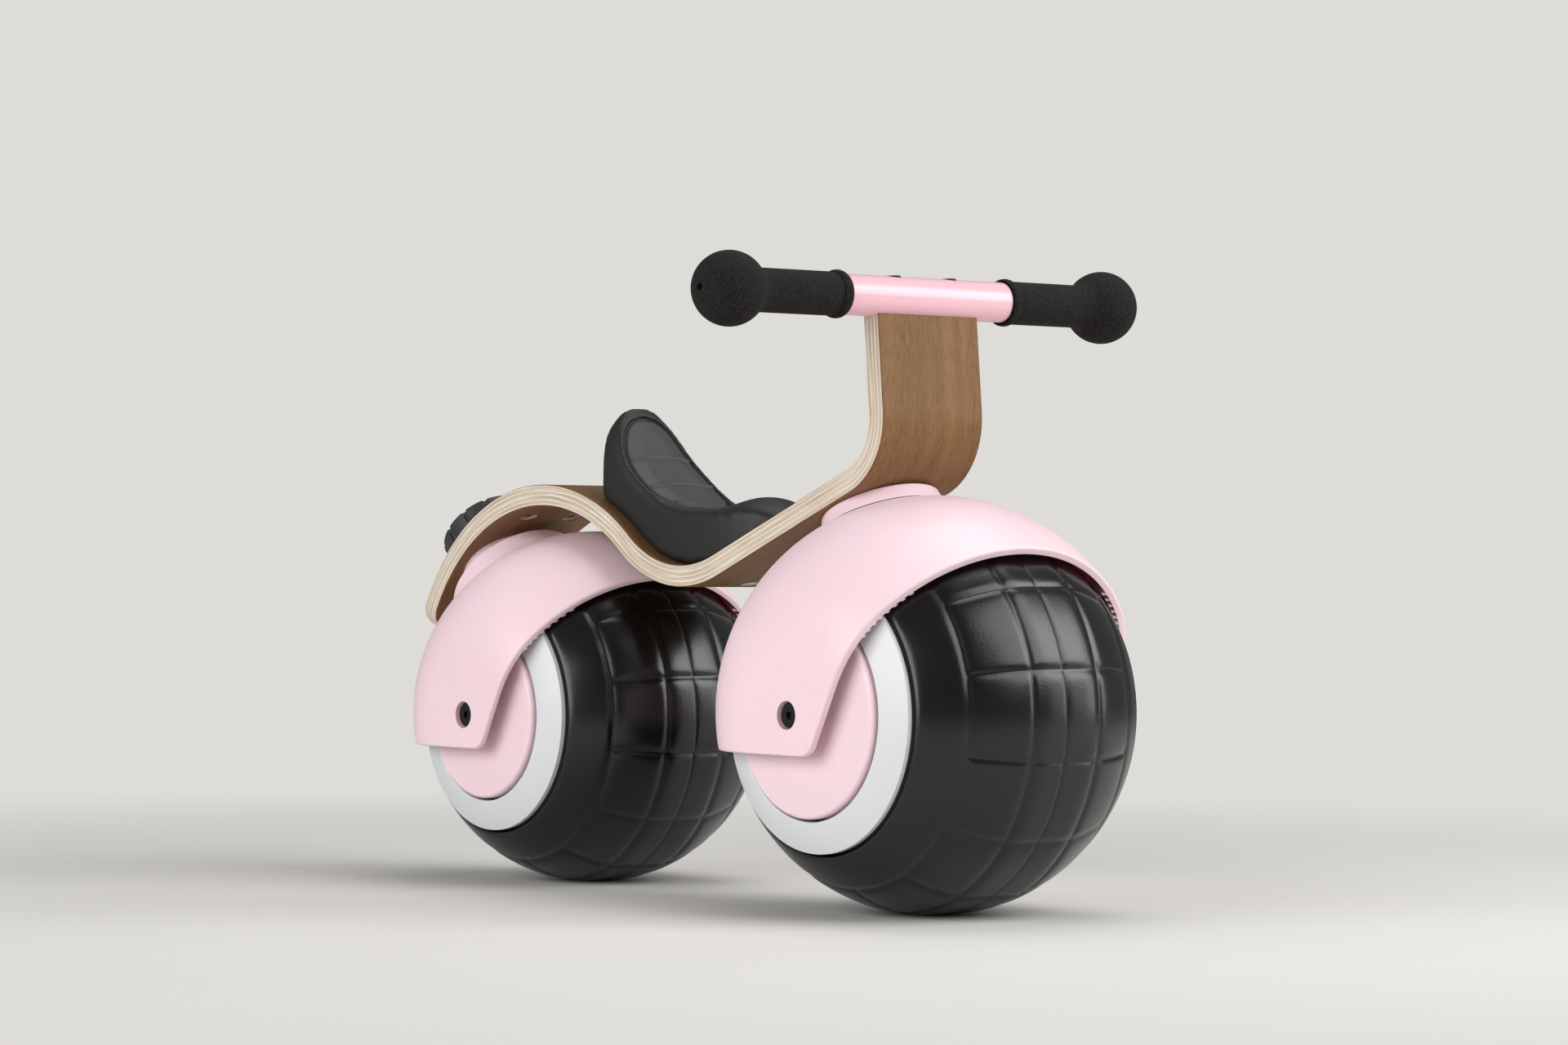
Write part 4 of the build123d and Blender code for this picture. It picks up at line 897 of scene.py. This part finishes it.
@dataclass
class Saddle:
    """Foam saddle: thick walls, a seat that climbs into the backrest, a pommel and a ribbed panel.

    Its outlines are in millimetres: hollow and back are its side view as (x, z), arch half of its front
    view as (y, z), plan half of its outline from above as (x, y), and panel half of the padded panel as
    (distance down the hollow, y).
    """

    hollow: tuple[tuple[float, float], ...] = (
        (-99.5, 279.0), (-97.6, 275.5), (-95.6, 270.5), (-92.0, 263.5), (-86.0, 253.6),
        (-79.0, 245.6), (-67.5, 236.6), (-54.6, 228.4), (-41.3, 222.6), (-27.0, 219.4),
        (-14.0, 218.5), (-3.0, 220.2), (6.0, 223.4), (15.0, 226.0), (24.0, 226.2),
        (32.0, 224.2), (40.0, 220.6), (47.0, 214.5), (51.5, 206.0), (52.5, 190.0),
        (52.5, 170.0),
    )
    back: tuple[tuple[float, float], ...] = (
        (-106.5, 170.0), (-106.0, 226.0), (-105.3, 250.0),
        (-104.8, 268.0), (-104.2, 275.5), (-102.4, 278.6),
    )
    arch: tuple[tuple[float, float], ...] = (
        (29.4, 170.0), (29.4, 228.0), (29.0, 238.0), (27.6, 247.0), (25.2, 255.0), (21.8, 263.0),
        (16.8, 270.6), (10.2, 276.8), (0.0, 280.2),
    )
    plan: tuple[tuple[float, float], ...] = (
        (-107.5, 0.0), (-107.0, 12.0), (-104.5, 22.0), (-96.0, 28.6),
        (-78.0, 29.4), (-50.0, 29.4), (-20.0, 29.4), (5.0, 28.6),
        (24.0, 25.4), (39.0, 19.0), (49.0, 9.5), (52.5, 0.0),
    )
    panel: tuple[tuple[float, float], ...] = (
        (6.6, 0.0), (8.4, 8.0), (13.6, 14.6), (22.0, 19.4), (34.0, 23.0), (48.0, 25.0),
        (62.0, 25.4), (76.0, 23.6), (88.0, 18.0), (95.0, 9.5), (97.0, 0.0),
    )
    outline_steps: int = 6
    back_steps: int = 4
    hump_steps: int = 12
    valley_steps: int = 16
    line_steps: int = 12
    panel_steps: int = 8
    block_width: float = 70.0 * MM
    roof: float = 350.0 * MM
    voxel: float = 2.0 * MM
    lift: float = 0.35 * MM
    lift_share: float = 1.15
    crown: float = 10.0 * MM
    crown_half: float = 29.0 * MM
    crown_start: tuple[float, float] = (-12.0 * MM, 205.0 * MM)
    crown_run: tuple[float, float] = (30.0 * MM, 15.0 * MM)
    groove: float = 1.5 * MM
    groove_place: float = 1.0 * MM
    groove_half: float = 1.9 * MM
    bead: float = 0.5 * MM
    bead_place: float = -1.6 * MM
    bead_half: float = 2.0 * MM
    pillow: float = 1.7 * MM
    pillow_run: float = 12.0 * MM
    ribs: tuple[float, ...] = (37.5 * MM, 63.5 * MM, 83.5 * MM)
    rib_half: float = 1.25 * MM
    rib_height: float = 1.5 * MM
    rib_arch: float = 1.6 * MM
    rib_end: float = 1.8 * MM
    pad_start: float = 1.2 * MM
    fade: float = 1.2 * MM
    skin: float = 6.0 * MM
    batch: int = 20000

    def prism(
        self, name: str, points: Sequence[tuple[float, float, float]], way: Vector
    ) -> bpy.types.Object:
        """Push one flat outline out into a prism.

        Args:
            name: Name of the piece.
            points: Its outline.
            way: How far and which way it is pushed.

        Returns:
            The prism.
        """
        piece = outline_loop(name, points, filled=True)
        start_edit(piece)
        bpy.ops.mesh.select_all(action="SELECT")
        bpy.ops.mesh.extrude_region_move(TRANSFORM_OT_translate={"value": way})
        bpy.ops.mesh.select_all(action="SELECT")
        bpy.ops.mesh.normals_make_consistent(inside=False)
        end_edit()
        return piece

    def block(self) -> bpy.types.Object:
        """Cut the rough block to its side view, front view, plan and the plywood under it.

        Returns:
            The block.
        """
        seat = through(self.hollow, self.outline_steps)
        rear = through(self.back, self.back_steps)
        side = [(x, -self.block_width / 2, z) for x, z in np.vstack((seat, rear))]
        block = self.prism("saddle_pad", side, Vector((0.0, self.block_width, 0.0)))
        # each mould starts outside the block and is pushed right through it
        arch = through(self.arch, self.outline_steps)
        front = [(-0.2, y, z) for y, z in arch] + [(-0.2, -y, z) for y, z in arch[-2::-1]]
        edge = through(self.plan, self.outline_steps)
        above = [(x, y, 0.15) for x, y in edge] + [(x, -y, 0.15) for x, y in edge[-2:0:-1]]
        for name, outline, way in (
            ("front_view", front, (0.4, 0.0, 0.0)),
            ("plan_view", above, (0.0, 0.0, 0.2)),
            ("over_plywood", self.over_plywood(), (0.0, 0.2, 0.0)),
        ):
            mould = self.prism(name, outline, Vector(way))
            apply_modifier(block, "BOOLEAN", operation="INTERSECT", object=mould, solver="EXACT")
            bpy.data.objects.remove(mould)
        return block

    def over_plywood(self) -> list[tuple[float, float, float]]:
        """Side view of the space above the plywood's upper face, raised by the lift.

        Returns:
            The outline's corners.
        """
        r = RIBBON
        hx, hz = r.hump
        vx, vz = r.valley
        fall = math.degrees(math.atan2(vx - hx, vz - hz))
        points = []
        reach = r.hump_radius + self.lift
        for step in range(self.hump_steps + 1):
            angle = math.radians(fall * step / self.hump_steps)
            points.append((hx + reach * math.sin(angle), hz + reach * math.cos(angle)))
        reach = r.valley_radius - self.lift
        for step in range(1, self.valley_steps + 1):
            angle = math.radians(-fall + (fall + r.slope_degrees) * step / self.valley_steps)
            points.append((vx + reach * math.sin(angle), vz - reach * math.cos(angle)))
        points.append(r.on_slope(0.0, r.slope_height + self.lift))
        points += [(points[-1][0], self.roof), (points[0][0], self.roof)]
        return [(x, -0.1, z) for x, z in points]

    def shape(self, piece: bpy.types.Object) -> None:
        """Crown the pommel, then shape the padded panel with its groove, bead and ribs.

        Args:
            piece: The smoothed block.
        """
        count = len(piece.data.vertices)
        flat = np.zeros(count * 3)
        piece.data.vertices.foreach_get("co", flat)
        place = flat.reshape(-1, 3)
        top = smooth((place[:, 2] - self.crown_start[1]) / self.crown_run[1])
        top *= smooth((place[:, 0] - self.crown_start[0]) / self.crown_run[0])
        place[:, 2] -= self.crown * top * (place[:, 1] / self.crown_half) ** 2

        line = through(self.hollow, self.line_steps)
        step = np.diff(line, axis=0)
        length = np.concatenate(([0.0], np.cumsum(np.hypot(step[:, 0], step[:, 1]))))
        away = np.gradient(line, axis=0)
        away /= np.hypot(away[:, 0], away[:, 1])[:, None]
        outward = np.column_stack((-away[:, 1], away[:, 0]))
        outline = through(self.panel, self.panel_steps)
        rim = np.vstack((outline, outline[::-1] * (1.0, -1.0)))
        pad = np.zeros(count)

        for first in range(0, count, self.batch):
            part = slice(first, min(first + self.batch, count))
            x, y, z = place[part].T
            near = np.hypot(x[:, None] - line[:, 0], z[:, None] - line[:, 1]).argmin(axis=1)
            along = length[near]
            off = (x - line[near, 0]) * outward[near, 0] + (z - line[near, 1]) * outward[near, 1]
            to_rim = np.hypot(along[:, None] - rim[:, 0], y[:, None] - rim[:, 1]).min(axis=1)
            wide = np.interp(along, outline[:, 0], outline[:, 1], left=-1.0, right=-1.0)
            inside = np.where(np.abs(y) < wide, to_rim, -to_rim)
            depth = self.groove * hump((inside - self.groove_place) / self.groove_half)
            depth -= self.pillow * smooth(inside / self.pillow_run)
            depth -= self.bead * hump((inside - self.bead_place) / self.bead_half)
            bow = self.rib_arch * (1 - (y / np.maximum(wide, 1.0 * MM)) ** 2)
            for rib in self.ribs:
                ridge = hump((along - rib + bow) / self.rib_half)
                depth -= self.rib_height * ridge * smooth((inside - self.rib_end) / self.fade)
            on_skin = np.abs(off) < self.skin
            pad[part] = smooth((inside - self.pad_start) / self.fade) * on_skin
            depth *= on_skin
            place[part, 0] -= outward[near, 0] * depth
            place[part, 2] -= outward[near, 1] * depth
        for vertex, point in zip(piece.data.vertices, place):
            gap = RIBBON.height_above(point[0], point[2])
            if gap < self.lift:
                point[2] += (self.lift - gap) * self.lift_share
            vertex.co = point
        piece.data.attributes.new(PAD, "FLOAT", "POINT").data.foreach_set("value", pad)

    def build(self, materials: dict[str, bpy.types.Material]) -> bpy.types.Object:
        """Model the saddle: cut the block, round it all over and shape its seat.

        Args:
            materials: Materials by slot.

        Returns:
            The finished saddle.
        """
        piece = self.block()
        apply_modifier(piece, "REMESH", mode="VOXEL", voxel_size=self.voxel, use_smooth_shade=True)
        apply_modifier(piece, "SMOOTH", factor=0.5, iterations=14)
        apply_modifier(piece, "SUBSURF", levels=2, render_levels=2)
        self.shape(piece)
        bpy.ops.object.shade_smooth()
        dress(piece, "saddle_skin", materials)
        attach(piece, "frame")
        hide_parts("saddle")
        return piece


# ================================================================ grips and bar screws
def bar_axis(node: str) -> Vector:
    """Point in the bike's middle plane, on the axis of a node that is round the bar."""
    low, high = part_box(node)
    return Vector(((low.x + high.x) / 2, 0.0, (low.z + high.z) / 2))


@dataclass
class FoamGrip:
    """Foam grip with a flange at its inner end and a ball at its outer end."""

    hand: Hand
    start: float = 57.8 * MM
    bore: float = 8.1 * MM
    radius: float = 11.9 * MM
    flange: float = 13.2 * MM
    flange_width: float = 5.5 * MM
    flange_face: float = 1.0 * MM
    flange_round: float = 1.4 * MM
    flange_steps: int = 6
    neck_step: float = 0.5 * MM
    neck_start: float = 0.6 * MM
    neck_end: float = 2.4 * MM
    stem_steps: int = 8
    foot_gap: float = 3.0 * MM
    ball: float = 20.3 * MM
    ball_y: float = 134.0 * MM
    ball_steps: int = 24
    foot_degrees: float = 3.0
    lip_degrees: float = 2.5
    end_hole: float = 2.0 * MM
    lip: tuple[float, float] = (0.2 * MM, 0.1 * MM)
    lip_depth: float = 1.0 * MM
    core_end: float = 130.3 * MM
    turns: int = 64

    def profile(self) -> list[tuple[float, float]]:
        """Section of the grip.

        Returns:
            Corners as (radius, place along the bar).
        """
        points = [(self.bore, self.start), (self.flange - self.flange_face, self.start)]
        reach = self.flange_width / 2
        for step in range(self.flange_steps + 1):
            angle = math.radians(-90 + 180 * step / self.flange_steps)
            radius = self.flange - self.flange_round + self.flange_round * math.cos(angle)
            points.append((radius, self.start + reach + reach * math.sin(angle)))
        neck = self.start + self.flange_width
        points.append((self.radius - self.neck_step, neck + self.neck_start))
        points.append((self.radius, neck + self.neck_end))
        foot = self.ball_y - math.sqrt(self.ball**2 - self.radius**2)
        stem = foot - self.foot_gap - neck - self.neck_end
        for step in range(1, self.stem_steps + 1):
            points.append((self.radius, neck + self.neck_end + stem * step / self.stem_steps))
        first = math.degrees(math.asin(self.radius / self.ball))
        last = math.degrees(math.asin(self.end_hole / self.ball))
        for step in range(1, self.ball_steps + 1):
            angle = 180 - first - (180 - first - last) * step / self.ball_steps - self.foot_degrees
            angle = math.radians(max(angle, last + self.lip_degrees))
            points.append((self.ball * math.sin(angle), self.ball_y + self.ball * math.cos(angle)))
        tip = self.ball_y + self.ball * math.cos(math.radians(last))
        points.append((self.end_hole + self.lip[0], tip - self.lip[1]))
        points.append((self.end_hole, tip - self.lip_depth))
        points += [(self.end_hole, self.core_end), (self.bore, self.core_end)]
        return points

    def build(self, materials: dict[str, bpy.types.Material]) -> bpy.types.Object:
        """Turn the grip about the bar.

        Args:
            materials: Materials by slot.

        Returns:
            The finished grip.
        """
        side = self.hand.name.lower()
        profile = [(radius, along * self.hand.value) for radius, along in self.profile()]
        piece = lathe(f"grip_foam_{side}", profile, bar_axis(f"grip_{side}"), self.turns)
        dress(piece, "grip_foam", materials)
        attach(piece, "frame")
        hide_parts(f"grip_{side}")
        return piece


@dataclass
class BarScrews:
    """Two socket screws that hold the bar down, their heads sunk almost flush with its top."""

    spacing: float = 40.0 * MM
    head: float = 4.75 * MM
    seat: float = 9.7 * MM
    top: float = 11.25 * MM
    edge: float = 0.35 * MM
    shank: float = 2.5 * MM
    end: float = -38.0 * MM
    socket_flat: float = 1.5 * MM
    socket_depth: float = 1.2 * MM
    turns: int = 36
    crease_degrees: float = 35.0

    def screw(self, place: Vector) -> bpy.types.Object:
        """Turn one screw, press its socket into six flats and stand it along the upright.

        Args:
            place: Point on the bar's axis that it goes through.

        Returns:
            The screw.
        """
        corner = self.socket_flat / math.cos(math.radians(30))
        profile = [
            (0.0, self.end),
            (self.shank, self.end),
            (self.shank, self.seat),
            (self.head, self.seat),
            (self.head, self.top - self.edge),
            (self.head - self.edge, self.top),
            (corner, self.top),
            (corner, self.top - self.socket_depth),
            (0.0, self.top - self.socket_depth),
        ]
        piece = lathe("bar_screw_heads", profile, Vector((0.0, 0.0, 0.0)), self.turns)
        for vertex in piece.data.vertices:
            reach = math.hypot(vertex.co.x, vertex.co.z)
            if abs(reach - corner) < SAME_POINT:
                turn = math.atan2(vertex.co.z, vertex.co.x) % math.radians(60) - math.radians(30)
                share = self.socket_flat / math.cos(turn) / reach
                vertex.co.x *= share
                vertex.co.z *= share
        ux, uz = RIBBON.upright_dir
        stand = Matrix(((0.0, 1.0, 0.0), (ux, 0.0, uz), (uz, 0.0, -ux))).transposed().to_4x4()
        piece.data.transform(Matrix.Translation(place) @ stand)
        return piece

    def build(self, materials: dict[str, bpy.types.Material]) -> bpy.types.Object:
        """Make both screws as one piece.

        Args:
            materials: Materials by slot.

        Returns:
            The pair of screws.
        """
        middle = bar_axis("grip_left")
        reach = Vector((0.0, self.spacing / 2, 0.0))
        other = self.screw(middle - reach)
        piece = self.screw(middle + reach)
        other.select_set(True)
        bpy.ops.object.join()
        bpy.ops.object.shade_smooth_by_angle(angle=math.radians(self.crease_degrees))
        piece.name = "bar_screw_heads"
        dress(piece, "black_steel", materials)
        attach(piece, "frame")
        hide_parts("bar_screws")
        return piece


# ================================================================ studio
@dataclass(frozen=True)
class Softbox:
    """One soft lamp: where it stands, its width and height in metres, and its power in watts."""

    name: str
    place: tuple[float, float, float]
    size: tuple[float, float]
    watts: float


@dataclass
class Studio:
    """Pale floor that fades into a pale wall, soft lamps on both sides, and the camera."""

    wall_colour: str = "#dedcd8"
    floor_colour: str = "#d9d7d3"
    floor_size: float = 30.0
    mottles_per_m: float = 1.5
    fade_start: float = 0.3
    fade_end: float = 1.2
    surround: float = 0.2
    aim: tuple[float, float, float] = (0.0, 0.0, 0.15)
    sensor: float = 36.0
    lens: float = 108.5
    eye: tuple[float, float, float] = (2.0889, -1.690, 0.2001)
    yaw: float = 140.572
    pitch: float = 0.255
    roll: float = 0.534
    lamps: tuple[Softbox, ...] = (
        Softbox("left softbox", (0.1, -2.3, 0.9), (2.4, 1.6), 46.0),
        Softbox("right softbox", (1.5, 1.8, 0.95), (0.9, 1.8), 15.0),
        Softbox("front softbox", (1.25, 0.55, 1.05), (1.3, 1.2), 17.0),
        Softbox("overhead softbox", (-0.05, 0.35, 1.6), (1.1, 0.8), 7.0),
    )

    def floor(self) -> None:
        """Lay the floor: it takes the bike's shadow nearby and turns into the wall's colour far away."""
        bpy.ops.object.select_all(action="DESELECT")
        bpy.ops.mesh.primitive_plane_add(size=self.floor_size, location=(0.0, 0.0, 0.0))
        floor = bpy.context.active_object
        floor.name = "studio_floor"
        material = bpy.data.materials.new("matt studio paper")
        material.use_nodes = True
        tree = material.node_tree
        tree.nodes.clear()
        place = add_node(tree, "TexCoord", {}, out="Object")
        mottles = {"Vector": place, "Scale": self.mottles_per_m, "Detail": 1.0}
        mottle = add_node(tree, "TexNoise", mottles)
        stops = ((CLOUD_LOW, self.floor_colour), (CLOUD_HIGH, self.wall_colour))
        colour = add_node(tree, "ValToRGB", {"Fac": mottle}, stops=stops)
        paper = add_node(tree, "BsdfPrincipled", {"Base Color": colour, "Roughness": 0.9})
        wall = add_node(tree, "Emission", {"Color": linear(self.wall_colour), "Strength": 1.0})
        away = add_node(tree, "VectorMath", {0: place}, out="Value", operation="LENGTH")
        reach = {"Value": away, "From Min": self.fade_start, "From Max": self.fade_end}
        fade = add_node(tree, "MapRange", reach, interpolation_type="SMOOTHSTEP")
        seen = add_node(tree, "LightPath", {}, out="Is Camera Ray")
        share = add_node(tree, "Math", {0: fade, 1: seen}, operation="MULTIPLY")
        shown = add_node(tree, "MixShader", {0: share, 1: paper, 2: wall})
        add_node(tree, "OutputMaterial", {"Surface": shown})
        floor.data.materials.append(material)

    def world(self) -> None:
        """Even surrounding light, seen by the camera as a pale wall."""
        world = bpy.data.worlds.new("studio")
        bpy.context.scene.world = world
        world.use_nodes = True
        tree = world.node_tree
        tree.nodes.clear()
        seen = add_node(tree, "LightPath", {}, out="Is Camera Ray")
        light = add_node(tree, "Background", {"Color": linear("#ffffff"), "Strength": self.surround})
        wall = add_node(tree, "Background", {"Color": linear(self.wall_colour), "Strength": 1.0})
        shown = add_node(tree, "MixShader", {0: seen, 1: light, 2: wall})
        add_node(tree, "OutputWorld", {"Surface": shown})

    def light(self, box: Softbox) -> None:
        """Add one soft lamp that faces the bike.

        Args:
            box: The lamp.
        """
        bpy.ops.object.light_add(type="AREA", location=box.place)
        lamp = bpy.context.active_object
        lamp.name = box.name
        lamp.data.shape = "RECTANGLE"
        lamp.data.size, lamp.data.size_y = box.size
        lamp.data.energy = box.watts
        way = Vector(self.aim) - Vector(box.place)
        lamp.rotation_euler = way.to_track_quat("-Z", "Y").to_euler()

    def camera(self) -> None:
        """Add the camera at its place and turn."""
        yaw, pitch, roll = (math.radians(angle) for angle in (self.yaw, self.pitch, self.roll))
        level = math.cos(pitch)
        ahead = Vector((math.cos(yaw) * level, math.sin(yaw) * level, math.sin(pitch)))
        right = ahead.cross(Vector((0.0, 0.0, 1.0))).normalized()
        up = right.cross(ahead)
        turned = right * math.cos(roll) + up * math.sin(roll)
        upright = up * math.cos(roll) - right * math.sin(roll)
        data = bpy.data.cameras.new("camera")
        data.lens = self.lens
        data.sensor_width = self.sensor
        data.sensor_fit = "HORIZONTAL"
        data.clip_end = 50.0
        camera = bpy.data.objects.new("camera", data)
        bpy.context.scene.collection.objects.link(camera)
        turn = Matrix((turned, upright, -ahead)).transposed().to_4x4()
        camera.matrix_world = Matrix.Translation(Vector(self.eye)) @ turn
        bpy.context.scene.camera = camera

    def build(self) -> None:
        """Set up the floor, the light and the camera."""
        self.floor()
        self.world()
        for box in self.lamps:
            self.light(box)
        self.camera()
        bpy.context.scene.view_settings.view_transform = "Standard"


def dress_nodes(materials: dict[str, bpy.types.Material]) -> None:
    """Give every CAD node the finish of its slot in the record.

    Args:
        materials: Materials by slot.
    """
    for part in frame["record"]["subparts"]:
        node = frame["nodes"][part["node"]]
        node.data.materials.clear()
        node.data.materials.append(materials[part["material_slot"]])


def main() -> None:
    """Build the bike's looks in order and report each piece."""
    logging.basicConfig(level=logging.INFO, format="%(message)s")
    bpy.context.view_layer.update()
    materials = Palette().build()
    dress_nodes(materials)
    LOG.info("dressed %d CAD nodes", len(frame["nodes"]))
    makers = (
        BallTyre(End.FRONT, ball=110.5 * MM, rim=74.3 * MM),
        BallTyre(End.REAR, ball=100.5 * MM, rim=67.5 * MM),
        Saddle(),
        FoamGrip(Hand.LEFT),
        FoamGrip(Hand.RIGHT),
        BarScrews(),
    )
    for maker in makers:
        piece = maker.build(materials)
        triangles = sum(face.loop_total - 2 for face in piece.data.polygons)
        LOG.info("%s: %d triangles", piece.name, triangles)
    Studio().build()
    LOG.info("studio ready")


if __name__ == "__main__":
    main()
